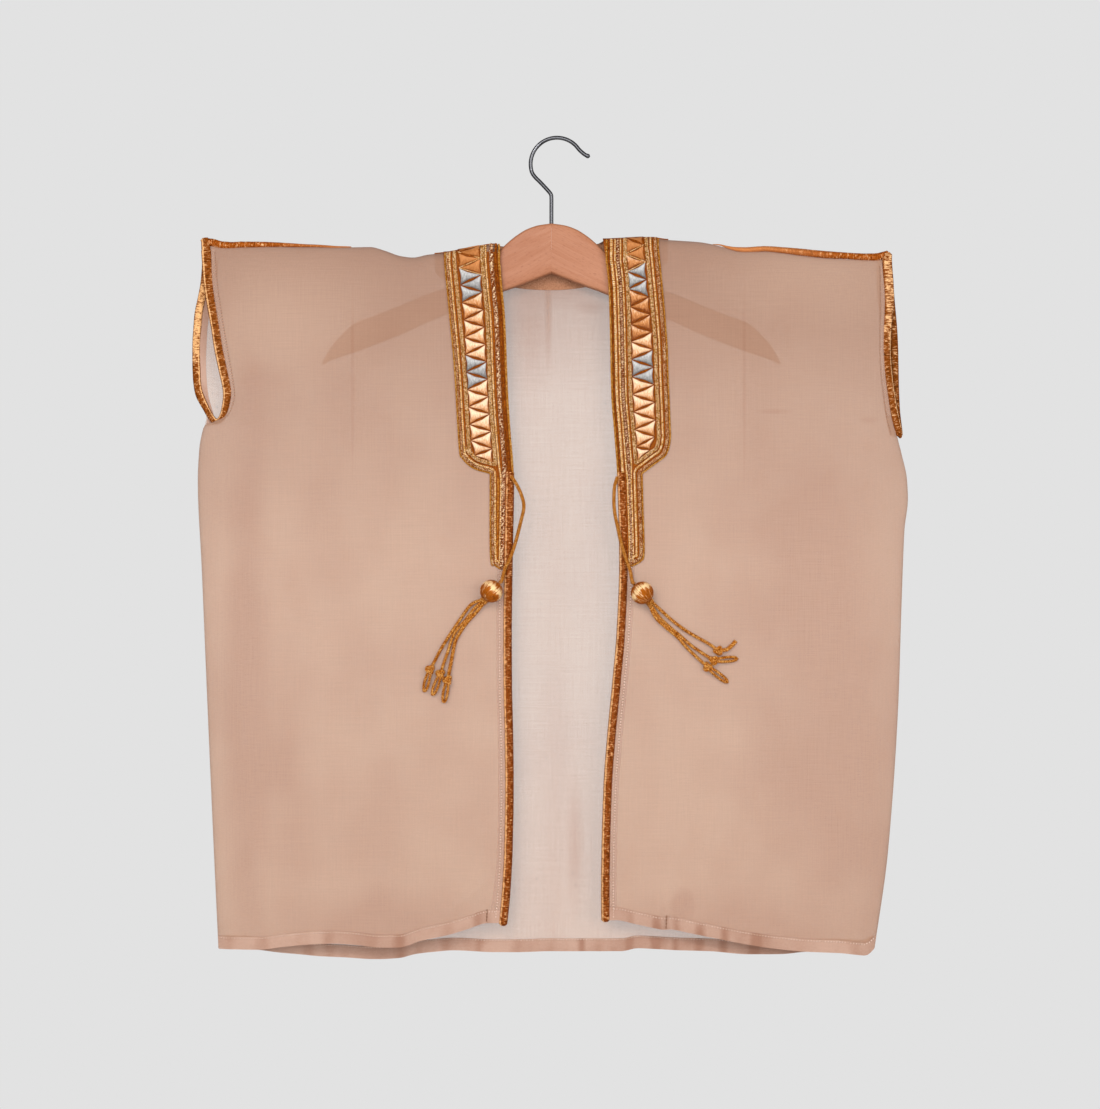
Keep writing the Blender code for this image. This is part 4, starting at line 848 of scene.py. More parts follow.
def turn_over(piece):
    """Point the faces of an open piece the other way."""
    take(piece)
    bpy.ops.object.mode_set(mode="EDIT")
    bpy.ops.mesh.select_all(action="SELECT")
    bpy.ops.mesh.flip_normals()
    bpy.ops.object.mode_set(mode="OBJECT")


def smooth(piece, degrees):
    """Shade a piece smooth, but for edges sharper than some degrees."""
    take(piece)
    bpy.ops.object.shade_smooth_by_angle(angle=math.radians(degrees))


# ---- cloth ----
class Cloth:
    """One panel: its edges, and how far its outer face stands off the middle plane."""

    def __init__(self, name, facing, left, right, top, hem, seams, seed):
        self.name, self.facing, self.left, self.right = name, facing, left, right
        self.top = Profile(top, "x", "z")
        self.rounding = Profile(top, "x", "rounding")
        self.hem = Profile(hem, "x", "z")
        self.seams, self.seed = seams, seed
        self.folds = [fold for fold in FOLDS + CREASES if fold.panel == name]

    def edge_room(self, seam, z):
        """How far the cloth stands off the middle plane at its side, more at the open sleeve edge."""
        share = (z + 72) / (cuff_end[seam] + 72)
        if not 0 < share < 1:
            return SEAM_ROOM
        return SEAM_ROOM + (CUFF_ROOM + 0.5 - SEAM_ROOM) * math.sin(math.pi * share) ** 0.7

    def stand(self, x, z):
        """How far the outer face stands off the middle plane."""
        room = HALF_ROOM + WALL
        for seam in self.seams:
            inward = x - self.left(z) if seam == "left" else self.right(z) - x
            edge = self.edge_room(seam, z)
            room = min(room, edge + (HALF_ROOM + WALL - edge) * round_in(inward / SIDE_ROUND))
        rounding = self.rounding(x)
        if rounding > 0.5:
            room = SEAM_ROOM + (room - SEAM_ROOM) * round_in((self.top(x) - z) / rounding)
        return room + sum(crease(fold, x, z) for fold in self.folds) + self.ripple(x, z)

    def ripple(self, x, z):
        """Soft unevenness of hanging cloth, none under the braid and at the edges."""
        if self.name == "back":
            trim = max(abs(x - HANGER_AXIS) - 84, -106 - z)
            neck = 99.0
        else:
            neck = opening["left"](z) - x if self.name == "front_left" else x - opening["right"](z)
            wide, narrow, below = FLAT_BAND
            trim = neck - wide + (wide - narrow) * ease((-236 - z) / 12) + (narrow - below) * ease((-303 - z) / 12)
        reach = min(trim, x - self.left(z) if "left" in self.seams else 99,
                    self.right(z) - x if "right" in self.seams else 99, self.top(x) - z, z - self.hem(x) + 4)
        if reach <= 0:
            return 0.0
        large = noise.noise(Vector((x / 62, z / 110, self.seed)))
        small = noise.noise(Vector((x / 24, z / 70, self.seed + 7)))
        near_hem = ease(1 - (z - self.hem(x)) / 30) * ease(min(trim, 12) / 12)
        wave = noise.noise(Vector((x / 9, 0.0, self.seed + 3)))
        return ease(reach / 26) * (RIPPLE * large + 0.3 * RIPPLE * small) + 0.55 * near_hem * wave

    def outward(self, x, z):
        """The outward direction of the outer face."""
        step = 0.5
        rise_x = (self.stand(x + step, z) - self.stand(x - step, z)) / (2 * step)
        rise_z = (self.stand(x, z + step) - self.stand(x, z - step)) / (2 * step)
        return Vector((-rise_x, self.facing, -rise_z)).normalized()

    def point(self, x, z, out=0.0):
        """Place on the outer face, or standing out from it."""
        spot = Vector((x, self.facing * self.stand(x, z), z))
        return spot + self.outward(x, z) * out if out else spot

    def spot(self, across, down):
        """Place for a share of the width and of the height."""
        z = self.top(0) + (self.hem(0) - self.top(0)) * down
        for _ in range(5):
            x = self.left(z) + (self.right(z) - self.left(z)) * across
            z = self.top(x) + (self.hem(x) - self.top(x)) * down
        return x, z

    def lane(self, places, out):
        """A route on the panel through places of x and z, standing out a little from it."""
        route = []
        for x, z in places:
            z = min(z, self.top(x) - 0.03)
            away = self.outward(x, z)
            away = Vector((0, away.y, away.z)).normalized()
            route.append((self.point(x, z) + away * out, away))
        return route


def ease(share):
    """0 to 1 with a soft start and end."""
    share = min(max(share, 0.0), 1.0)
    return share * share * (3 - 2 * share)


def crease(fold, x, z):
    """Height of a soft ridge, fading at its ends."""
    run_x, run_z = fold.x_low - fold.x_top, fold.z_low - fold.z_top
    length = math.hypot(run_x, run_z)
    away_x, away_z = x - fold.x_top, z - fold.z_top
    along = (away_x * run_x + away_z * run_z) / length ** 2
    if not 0 < along < 1:
        return 0.0
    aside = (away_x * run_z - away_z * run_x) / length
    return fold.height * math.sin(math.pi * along) * math.exp(-(aside / fold.width) ** 2)


def crowd(share, both):
    """Crowd a grid's lines towards one end, or towards both."""
    if both:
        return 0.45 * share + 0.55 * (0.5 - 0.5 * math.cos(math.pi * share))
    return share ** 1.25


def thicken(piece, cloth, place, thick, offset, finish, slot, *nodes):
    """Lay a fresh grid on a panel and give it its thickness and its finish; its slot is not used."""
    move_grid(piece, place)
    if cloth.facing > 0:
        turn_over(piece)
    apply_modifier(piece, "SOLIDIFY", thickness=thick * MM, offset=offset, use_quality_normals=True)
    smooth(piece, 60)
    return dress(piece, [finish], slot, *nodes)


def make_panel(cloth, across, down, finish, *nodes):
    """A thin shell of cloth on the panel's form."""
    piece = flat_grid("cloth_" + cloth.name, across, down)

    def place(u, v):
        if len(cloth.seams) == 2:
            u = crowd(u, True)
        else:
            u = crowd(u, False) if cloth.seams[0] == "left" else 1 - crowd(1 - u, False)
        return cloth.point(*cloth.spot(u, crowd(v, False)))

    return thicken(piece, cloth, place, CLOTH_THICK, -1.0, finish, "voile", *nodes)


def make_strip(cloth, name, finish, across, down, place_of, out, thick, slot="voile"):
    """A narrow doubled strip on a panel, such as a hem or a seam's allowance."""
    piece = flat_grid(name, across, down)

    def place(u, v):
        x, z = place_of(u, v)
        return cloth.point(x, min(z, cloth.top(x) - 0.05), out)

    return thicken(piece, cloth, place, thick, 1.0, finish, slot)


def make_stitches(name, routes, finish, length=1.1, gap=0.9):
    """Running stitches: one stitch modelled, then copied along each route."""
    stitch = fresh(bpy.ops.mesh.primitive_cube_add, size=1)
    for vertex in stitch.data.vertices:
        vertex.co = Vector((vertex.co.x * length * STITCH[0], vertex.co.y * STITCH[1], vertex.co.z * STITCH[2]))
    apply_modifier(stitch, "BEVEL", width=0.1, segments=1)
    points = [vertex.co.copy() for vertex in stitch.data.vertices]
    faces = [tuple(face.vertices) for face in stitch.data.polygons]
    bpy.data.objects.remove(stitch)
    row = Gathered()
    for route in routes:
        steps = even_route(route, length + gap)
        for i, (point, out) in enumerate(steps[:-1]):
            along = (steps[1][0] - point if i == 0 else point - steps[i - 1][0]).normalized()
            side = along.cross(out).normalized()
            first = len(row.points)
            row.points += [point + along * co.x + side * co.y + out * (co.z + 0.08) for co in points]
            for corners in faces:
                row.face(tuple(first + corner for corner in corners), tuple((0.0, 0.0) for _ in corners), 0)
    return dress(row.make(name), [finish], "voile")


def wrapped_grid(name, around, along, place, length):
    """A closed body: a grid wrapped round a middle line, its seam merged and its ends filled."""
    piece = flat_grid(name, around, along)
    layer = piece.data.uv_layers.active.data
    for pair in layer:
        pair.uv = (length * (1 - pair.uv[1]), pair.uv[0])
    move_grid(piece, place)
    bpy.ops.object.mode_set(mode="EDIT")
    bpy.ops.mesh.select_all(action="SELECT")
    bpy.ops.mesh.remove_doubles(threshold=0.00002)
    bpy.ops.mesh.select_all(action="DESELECT")
    bpy.ops.mesh.select_mode(type="EDGE")
    bpy.ops.mesh.select_non_manifold()
    bpy.ops.mesh.edge_face_add()
    bpy.ops.mesh.select_mode(type="VERT")
    bpy.ops.mesh.select_all(action="SELECT")
    bpy.ops.mesh.fill_holes(sides=0)
    bpy.ops.mesh.normals_make_consistent(inside=False)
    bpy.ops.object.mode_set(mode="OBJECT")
    smooth(piece, 50)
    return piece


def along_route(route, radius_at):
    """Placement of a wrapped grid along an even route of places and directions."""
    points = [point for point, _ in route]
    count = len(route) - 1

    def place(u, v):
        i = min(round(v * count), count)
        point, out = route[i]
        along = heading(points, i)
        side = along.cross(out).normalized()
        up = side.cross(along)
        angle = TURN * (u % 1.0)
        size = radius_at(v, angle)
        return point + side * math.sin(angle) * size - up * math.cos(angle) * size

    return place


def run_of(route):
    """The length of a route."""
    return sum((b[0] - a[0]).length for a, b in zip(route, route[1:]))


# ---- the panels of cloth ----
def make_cloths():
    """The three panels' forms."""
    left_front, left_back = Profile(LEFT_SIDE, "z", "front"), Profile(LEFT_SIDE, "z", "back")
    right_front, right_back = Profile(RIGHT_SIDE, "z", "front"), Profile(RIGHT_SIDE, "z", "back")
    return {"front_left": Cloth("front_left", -1, left_front, lambda z: opening["left"](z) - lip_inset(z),
                                TOP_LEFT, HEM_LEFT, ["left"], 3.1),
            "front_right": Cloth("front_right", -1, lambda z: opening["right"](z) + lip_inset(z), right_front,
                                 TOP_RIGHT, HEM_RIGHT, ["right"], 11.7),
            "back": Cloth("back", 1, left_back, right_back, TOP_LEFT + NECKLINE + TOP_RIGHT, HEM_BACK,
                          ["left", "right"], 23.9)}


def lip_inset(z):
    """How far a front's cloth stops short of the opening's edge: under the braid, then at the piping."""
    return 1.0 + min(max((-229.5 - z) / 4.5, 0.0), 1.0) * (PIPING - 2.2)


def make_cloth_pieces():
    """The three panels with their hems, facings, allowances and stitches."""
    for name, cut, across, down in (("front_left", (0.222, 0.515), 84, 190),
                                    ("front_right", (0.212, 0.515), 80, 190),
                                    ("back", (0.490, 0.510), 170, 176)):
        cloth = cloths[name]
        finish = "voile_back" if name == "back" else "voile_front"
        panel = make_panel(cloth, across, down, finish, name)
        trims = [make_hem(cloth, across)]
        if name == "back":
            trims += make_back_trims(cloth)
        else:
            trims += make_front_trims(cloth, name)


def make_hem(cloth, across):
    """The turned hem; its row of stitches is laid with the other trims."""
    def place(u, v):
        z = cloth.hem(0)
        for _ in range(4):
            x = cloth.left(z) + (cloth.right(z) - cloth.left(z)) * (0.004 + 0.992 * u)
            z = cloth.hem(x) + HEM_WIDTH * (1 - v) - 0.1 * v
        return x, z

    out = 0.12 if cloth.facing < 0 else -(CLOTH_THICK + 0.6)
    return make_strip(cloth, "hem_" + cloth.name, "voile_double", across, 6, place, out, 0.5)


def make_front_trims(cloth, name):
    """Allowance beside the piping and at the sleeve opening, the rows of stitches, and dark lines of painted
    shade: a darker row of stitches along the sleeve's turning and a line over the hem's tuck.
    """
    seam_side = cloth.seams[0]
    sign = SIGN[seam_side]
    side, edge = (cloth.left, cloth.right) if sign == 1 else (cloth.right, cloth.left)
    turning_width, widening, first = TURNINGS[seam_side]
    high, low = cloth.top(side(-80)) - 3, cuff_end[seam_side] + 14
    last = cloth.hem(edge(-545)) + 0.6

    def turning(u, v):
        z = high + (low - high) * v
        return side(z) + sign * (1.0 + turning_width * (u if sign == 1 else 1 - u)), z

    def beside(u, v):
        z = first + (last - first) * v
        width = ALLOWANCE + widening * ease((v - 0.8) / 0.2)
        return edge(z) - sign * (0.3 + width * (1 - u if sign == 1 else u)), z

    strips = [make_strip(cloth, "allowance_" + name, "voile_edge", 4, 110, beside, 0.12, 0.25),
              make_strip(cloth, "sleeve_turning_" + name, "voile_edge", 4, 60, turning, 0.1, 0.2)]
    seam = cloth.lane([(edge(z) - sign * 3.6, z) for z in drop(first, -546, 60)], 0.35)
    hem = cloth.lane([(x, cloth.hem(x) + HEM_WIDTH - 1.0) for x in
                      drop(side(-555) + sign * 3, edge(-545) - sign * 2, 60)], 0.75)
    cuff_top = cloth.top(side(-75)) - 6
    cuff = cloth.lane([(side(z) + sign * 4.4, z) for z in drop(cuff_top, cuff_end[seam_side], 50)], 0.1)
    strips.append(make_stitches("stitches_" + name, [seam, hem], "sewing_thread"))
    # a dark line over the hem's tuck, painted shadow of its overlap, laid as close stitches
    start, stop = HEM_TUCK[seam_side]
    end = cloth.lane([start, tuple((a + b) / 2 for a, b in zip(start, stop)), stop], 0.75)
    # a row of stitches in a darker thread that also paints the shade along the sleeve's turning
    strips.append(make_stitches("cuff_stitches_" + name, [cuff], "shade_thread"))
    strips.append(make_stitches("hem_tuck_" + name, [end], "tuck_thread", 2.2, 0.05))
    return strips


def drop(first, last, steps):
    """Even values from the first to the last."""
    return [first + (last - first) * i / steps for i in range(steps + 1)]


def make_back_trims(cloth):
    """Facing under the neck braid, allowances inside the sleeve openings, and the hem's stitches."""
    def reverse(u, v):
        x = HANGER_AXIS + (u - 0.5) * 163
        top = cloth.top(x) - 0.6
        return x, top + (neck_low(x) - top) * v

    strips = [make_strip(cloth, "neck_braid_reverse", "braid_reverse", 60, 8, reverse, -0.75, 0.3)]
    for seam, edge in (("left", cloth.left), ("right", cloth.right)):
        def inside(u, v, edge=edge, sign=SIGN[seam], seam=seam):
            z = -84 + (cuff_end[seam] + 84) * v
            return edge(z) + sign * (0.4 + (5.8 - 1.6 * v) * (u if sign == 1 else 1 - u)), z

        strips.append(make_strip(cloth, f"sleeve_allowance_{seam}", "voile_double", 4, 60, inside, -0.75, 0.3))
    hem = cloth.lane([(x, cloth.hem(x) + HEM_WIDTH - 0.6) for x in drop(-234, 218, 120)], -1.25)
    strips.append(make_stitches("stitches_back", [[(point, -out) for point, out in hem]], "sewing_thread"))
    return strips


# ---- the braid ----
def outline_of(table, sign):
    """The braid's outer edge from the shoulder down, with its inward direction, as two smooth runs."""
    corner = next(i for i, row in enumerate(table) if row.z <= -234)
    runs = []
    for stretch in (table[:corner + 1], table[corner:]):
        points = smooth_route([(row.outer, 0, row.z) for row in stretch], 1.5)
        run = []
        for i, point in enumerate(points):
            along = heading(points, i)
            run.append((point, Vector((-along.z, 0, along.x)) * sign))
        runs.append(run)
    return runs


def outer_lane(table, sign, at):
    """Places a fixed distance inside the outer edge, turning round the inner corner."""
    wide, narrow = outline_of(table, sign)
    places = [point + away * at for point, away in wide]
    last, first = wide[-1][1], narrow[0][1]
    places += [wide[-1][0] + last.lerp(first, i / 5).normalized() * at for i in range(1, 5)]
    places += [point + away * at for point, away in narrow]
    return [(place.x, place.z) for place in places]


def from_fold(panel, places):
    """The same places, led up to the shoulder's fold with close steps."""
    kept = [place for place in places if place[1] < panel.top(place[0]) - 8]
    x, z = kept[0]
    top = panel.top(x) - 1.7
    lead = [(x, top - (top - z) * share ** 2) for share in (0.0, 0.08, 0.16, 0.24, 0.34, 0.46, 0.6, 0.8)]
    return lead + kept


def neck_lane(edge, sign, at, low):
    """Places a fixed distance from the neck edge, stepping past the piping below the wide part."""
    places = []
    z = -86.0
    while z > low:
        narrow = ease((-226 - z) / 14)
        shift = narrow * (1.1 if 5 < at < 8 else -1.4 if 10 < at < 12 else 0.0) * (1 if sign == 1 else 0.5)
        places.append((edge(z) - sign * (at + shift), z))
        z -= 1.5
    return places


# a lane's step, radius to its width, sides, flattening, place among the finishes, and how far it stands out;
# then, where it is twisted, its strands, their spread to its width, the length of a turn and its flatness
Kind = namedtuple("Kind", "step radius sides wide finish lift twist")
LANE_KINDS = {"rope": Kind(0.45, 0.27, 6, 1.0, 0, 1.35, (2, 0.24, 3.3, 1.0)),
              "mottled": Kind(0.45, 0.27, 6, 1.0, 1, 1.3, (2, 0.24, 3.3, 1.0)),
              "bright": Kind(1.0, 0.42, 8, 1.25, 2, 1.35, None), "copper": Kind(0.8, 0.42, 10, 1.2, 3, 1.35, None),
              "band": Kind(1.0, 0.3, 8, 1.7, 4, 1.1, None),
              "chain": Kind(0.36, 0.19, 5, 1.15, 5, 1.45, (3, 0.36, 3.4, 0.9)),
              "cord": Kind(0.45, 0.28, 5, 1.0, 6, 1.0, (2, 0.22, 1.9, 1.0))}
LANE_FINISHES = ["gold_rope", "mottled_rope", "bright_lame", "copper_tube", "old_gold_band", "gold_chain",
                 "yellow_cord"]


def lay_lane(gathered, route, name, width):
    """One thread lane of the braid, by its kind."""
    kind = LANE_KINDS[name]
    route = even_route(route, kind.step)
    if kind.twist:
        count, spread, pitch, flat = kind.twist
        strands = strands_of(route, count, width * spread, pitch, flat, name == "chain")
    else:
        strands = [route]
    for strand in strands:
        gathered.sweep(strand, width * kind.radius, kind.sides, kind.wide, kind.finish)


def make_front_braid(side):
    """The wide and narrow braid of one front: its ground, thread lanes and padded triangles."""
    sign = SIGN[side]
    cloth = cloths["front_" + side]
    edge = opening[side]
    table = BRAID[side]
    outer = Profile(table, "z", "outer")
    low_end = min(row.z for row in table)

    def wide_ground(u, v):
        z = cloth.top(outer(-80)) + (CORNER_Z - cloth.top(outer(-80))) * (1 - (1 - v) ** 1.6 if v > 0.5 else
                                                                       (v * 2) ** 1.7 / 2 * 1.3405)
        share = u if side == "right" else 1 - u
        x = edge(z) - sign * 0.6 + (outer(z) + sign * 0.4 - edge(z) + sign * 0.6) * share
        return x, z

    def narrow_ground(u, v):
        z = CORNER_Z + (low_end + 0.4 - CORNER_Z) * (1 - (1 - v) ** 1.6)
        share = u if side == "right" else 1 - u
        start = edge(z) - sign * (PIPING - 1.2)
        return start + (outer(z) + sign * 0.4 - start) * share, z

    # the ground is dark partly as painted shade in the gaps between the raised threads
    ground = make_strip(cloth, "braid_ground_" + side, "braid_ground", 26, 90, wide_ground, GAP, 0.7, "braid")
    lower = make_strip(cloth, "braid_ground_low_" + side, "braid_ground", 8, 50, narrow_ground, GAP, 0.7, "braid")
    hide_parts("braid_" + side)
    lanes = Gathered()
    for lane in LANES[side]:
        places = neck_lane(edge, sign, lane.at, lane.low) if lane.side == "neck" else \
            outer_lane(table, sign, lane.at)
        lay_lane(lanes, cloth.lane(from_fold(cloth, places), LANE_KINDS[lane.kind].lift), lane.kind, lane.width)
    at, width = NARROW_BAND[side]
    lay_lane(lanes, cloth.lane([(edge(z) - sign * at, z) for z in drop(-237, -297, 40)], 1.1), "band", width)
    from_outer, from_neck, low, width = CHAIN[side]
    down = [place for place in outer_lane(table, sign, from_outer)
            if place[1] > -232 and (edge(place[1]) - place[0]) * sign > from_neck + 0.8]
    up = [(edge(z) - sign * from_neck, z) for z in drop(low, -86, 90)]
    down, up = from_fold(cloth, down), from_fold(cloth, up[::-1])[::-1]
    lay_lane(lanes, cloth.lane(down + up, LANE_KINDS["chain"].lift), "chain", width)
    dress(lanes.make("braid_threads_" + side), LANE_FINISHES, "braid")
    make_pads(side, cloth)


def pad_template():
    """One padded triangle: a ring of three corners, subdivided, raised and drawn in by steps."""
    piece = fresh(bpy.ops.mesh.primitive_circle_add, vertices=3, radius=1.0, fill_type="NOTHING")
    bpy.ops.object.mode_set(mode="EDIT")
    bpy.ops.mesh.select_all(action="SELECT")
    bpy.ops.mesh.subdivide(number_cuts=4)
    for share, rise in ((0.97, 0.42), (0.925, 0.33), (0.8, 0.17), (0.55, 0.06)):
        bpy.ops.mesh.extrude_edges_move(TRANSFORM_OT_translate={"value": (0, 0, rise)})
        bpy.ops.transform.resize(value=(share, share, 1.0), center_override=(0, 0, 0))
    bpy.ops.mesh.edge_face_add()
    bpy.ops.mesh.poke()
    bpy.ops.mesh.select_all(action="SELECT")
    bpy.ops.mesh.normals_make_consistent(inside=False)
    bpy.ops.object.mode_set(mode="OBJECT")
    corners = sorted((v.co for v in piece.data.vertices if v.co.z < 0.01 and v.co.length > 0.99),
                     key=lambda co: math.atan2(co.y, co.x))
    frame_of = Matrix(((corners[0].x, corners[1].x, corners[2].x), (corners[0].y, corners[1].y, corners[2].y),
                       (1, 1, 1))).inverted()
    points = [(frame_of @ Vector((v.co.x, v.co.y, 1)), v.co.z) for v in piece.data.vertices]
    faces = [tuple(face.vertices) for face in piece.data.polygons]
    upward = sum(face.normal.z for face in piece.data.polygons) > 0
    bpy.data.objects.remove(piece)
    return points, faces if upward else [face[::-1] for face in faces]


def lay_pad(gathered, cloth, corners, finish, rise, tone=0.0):
    """Copy the padded triangle to three corners on the cloth; its sides are drawn in a little.

    tone deepens its colour, from 0 for pale to 1 for copper-dark.
    """
    points, faces = pad_shape
    middle = sum((Vector(corner) for corner in corners), Vector((0, 0))) / 3
    near = [Vector(corner) + (middle - Vector(corner)).normalized() * 0.5 for corner in corners]
    first = len(gathered.points)
    turned = (near[1] - near[0]).cross(near[2] - near[0]) * -cloth.facing < 0
    spots = []
    for shares, height in points:
        spot = near[0] * shares.x + near[1] * shares.y + near[2] * shares.z
        for aside, one, other in ((shares.x, shares.y, shares.z), (shares.y, shares.z, shares.x),
                                  (shares.z, shares.x, shares.y)):
            pull = 4 * one * other * max(0.0, 1 - aside * 3.2)
            spot += (middle - spot).normalized() * 0.85 * pull
        spots.append(spot)
        gathered.points.append(cloth.point(spot.x, min(spot.y, cloth.top(spot.x) - 0.05), 0.9 + height * rise))
    low, high = min(spot.y for spot in spots), max(spot.y for spot in spots)
    for face in faces:
        order = face[::-1] if turned else face
        # the first thread coordinate is the share up the pad, which the satin finish turns into painted light
        gathered.face(tuple(first + i for i in order),
                      tuple(((spots[i].y - low) / (high - low), tone) for i in order), finish)


def make_pads(side, cloth):
    """The row of padded triangles of one front, on its darker field."""
    outer, neck = PEAKS_OUTER[side], PEAKS_NECK[side]
    path = [point for pair in zip(outer, neck) for point in pair]
    crest = [(x, cloth.top(x) - 0.2) for x in (outer[0][0], neck[0][0])]
    pads = Gathered()
    for corners in (crest + path[:1], [crest[1]] + path[:2]):
        lay_pad(pads, cloth, corners, COPPER, 0.4, 0.3)
    for i in range(len(path) - 2):
        kind = SILVER if i in SILVER_PADS else COPPER if i < COPPER_PADS[side] else SATIN
        if kind != SATIN:
            tone = 0.3
        elif side == "left":
            tone = max(0.0, 0.9 - i / 11)
        else:
            tone = 0.95 if i < 10 else 0.1
        lay_pad(pads, cloth, path[i:i + 3], kind, PAD_RISE if kind != COPPER else 0.5, tone)
    outline = cloth.lane([(x, min(z, cloth.top(x) - 0.3)) for x, z in path[:4]], 1.5)
    pads.sweep(even_route(outline, 0.6), 0.34, 6, finish=RIM)
    piece = pads.make("padded_triangles_" + side)
    dress(piece, ["pale_gold_satin", "silver_satin", "copper_satin", "bright_lame"], "braid")
    rows = [Profile([Top(x, z, 0) for x, z in row], "z", "x") for row in (outer, neck)]

    def field(u, v):
        high, low = cloth.top(outer[0][0]) - 0.3, min(outer[-1][1], neck[-1][1]) - 0.8
        z = high + (low - high) * v ** 1.2
        ends = sorted(row(max(z, row.at[0])) for row in rows)
        return ends[0] + (ends[1] - ends[0]) * u, z

    # the dark field shows in the grooves between the pads, partly as painted shade
    make_strip(cloth, "triangle_field_" + side, "field_ground", 10, 90, field, GAP + 0.62, 0.2, "braid")


def neck_low(x):
    """Lower edge of the braid round the back of the neck."""
    top = cloths["back"].top(x) - WALL
    aside = min(abs(x - HANGER_AXIS) / NECK_REACH, 1.0)
    return top + (SHOULDER_LEVEL - top) * 0.22 - 3.0 - 17.0 * math.sqrt(1 - aside ** 2)


def make_neck_braid():
    """The braid round the back of the neck, with a crescent of padded triangles."""
    cloth = cloths["back"]

    def ground(u, v):
        x = HANGER_AXIS + (u - 0.5) * 2 * NECK_REACH
        top = cloth.top(x) - 0.05
        return x, top + (neck_low(x) - top) * v ** 1.3

    piece = make_strip(cloth, "neck_braid_ground", "braid_ground", 110, 22, ground, GAP, 0.7, "braid")
    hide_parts("braid_back")
    lanes = Gathered()

    def lane(kind, at, from_top, least):
        places = []
        for x in drop(HANGER_AXIS - NECK_REACH + 0.8, HANGER_AXIS + NECK_REACH - 0.8, 150):
            top, low = cloth.top(x), neck_low(x)
            if top - low >= least:
                places.append((x, top - at if from_top else low + at))
        return cloth.lane(places, LANE_KINDS[kind].lift)

    for kind, at, width, from_top, least in (
            ("rope", 1.3, 2.2, True, 0), ("copper", 3.9, 2.2, True, 0), ("mottled", 6.6, 2.4, True, 14.0),
            ("cord", 0.7, 1.3, False, 0), ("rope", 2.5, 2.5, False, 0), ("bright", 4.5, 1.2, False, 12.0)):
        route = lane(kind, at, from_top, least)
        if len(route) > 4:
            lay_lane(lanes, route, kind, width)
    ring = lane("chain", 7.2, False, 20.5) + lane("chain", 9.4, True, 20.5)[::-1]
    lay_lane(lanes, ring + ring[:2], "chain", 2.3)
    dress(lanes.make("neck_braid_threads"), LANE_FINISHES, "braid")
    path, up, x = [], True, HANGER_AXIS - 66.0
    while x < HANGER_AXIS + 66.0:
        top, low = cloth.top(x), neck_low(x)
        if top - low > 22.0:
            path.append((x, top - 11.0 if up else low + 8.9))
        up = not up
        x += 6.05
    pads = Gathered()
    for i in range(len(path) - 2):
        lay_pad(pads, cloth, path[i:i + 3], SATIN, 1.0)
    dress(pads.make("neck_padded_triangles"), ["pale_gold_satin"], "braid")


# ---- piping, bindings and cords ----
def make_piping(side):
    """The thick cord down one front edge, with rounded ends."""
    sign = SIGN[side]
    cloth = cloths["front_" + side]
    edge = opening[side]
    low = -550.3 if side == "left" else -547.6
    route = []
    for z in drop(-232.5, low, 150):
        x = edge(z) - sign * PIPING / 2
        route.append((Vector((x, -(cloth.stand(x - sign * 5, z) - WALL / 2), z)), Vector((0, -1, 0))))
    route = even_route(route, 1.4)

    def radius(v, angle):
        near = min(v, 1 - v) * run_of(route) / 1.6
        lump = noise.noise(Vector((v * 70, angle * 0.6, sign * 5)))
        return PIPING / 2 * (0.97 + 0.03 * lump) * (0.55 + 0.45 * round_in(near))

    piece = wrapped_grid("piping_" + side, 20, len(route) - 1, along_route(route, radius), run_of(route))
    dress(piece, ["gold_piping"], "gold_cord", "edge_cord_" + side)


def make_binding(side):
    """The binding of one sleeve opening: a flattened roll of satin stitch."""
    table = CUFF[side]
    spots = smooth_route([(row.x, row.y, row.z) for row in table], 1.6)
    lengths, widths = [0.0], []
    marks = [Vector((row.x, row.y, row.z)) for row in table]
    for a, b in zip(spots, spots[1:]):
        lengths.append(lengths[-1] + (b - a).length)
    for spot in spots:
        nearest = min(range(len(marks)), key=lambda i: (marks[i] - spot).length)
        other = min((i for i in (nearest - 1, nearest + 1) if 0 <= i < len(marks)),
                    key=lambda i: (marks[i] - spot).length)
        a, b = (marks[nearest] - spot).length, (marks[other] - spot).length
        widths.append((table[nearest].width * b + table[other].width * a) / max(a + b, 1e-6))
    frames = []
    for i in range(len(spots)):
        along = heading(spots, i)
        side_way = along.cross(Vector((0, 1, 0))).normalized()
        frames.append((side_way, along.cross(side_way)))
    count = len(spots) - 1

    def place(u, v):
        i = min(round(v * count), count)
        angle = TURN * (u % 1.0)
        near = round_in(min(v, 1 - v) * lengths[-1] / 1.5) * 0.5 + 0.5
        across, deep = math.cos(angle), math.sin(angle)
        across = math.copysign(abs(across) ** 0.8, across) * widths[i] / 2 * near
        deep = math.copysign(abs(deep) ** 0.8, deep) * 1.3 * near
        return spots[i] + frames[i][0] * across + frames[i][1] * deep

    piece = wrapped_grid("sleeve_binding_" + side, 20, count, place, lengths[-1])
    dress(piece, ["binding_" + side], "binding", "cuff_" + side)


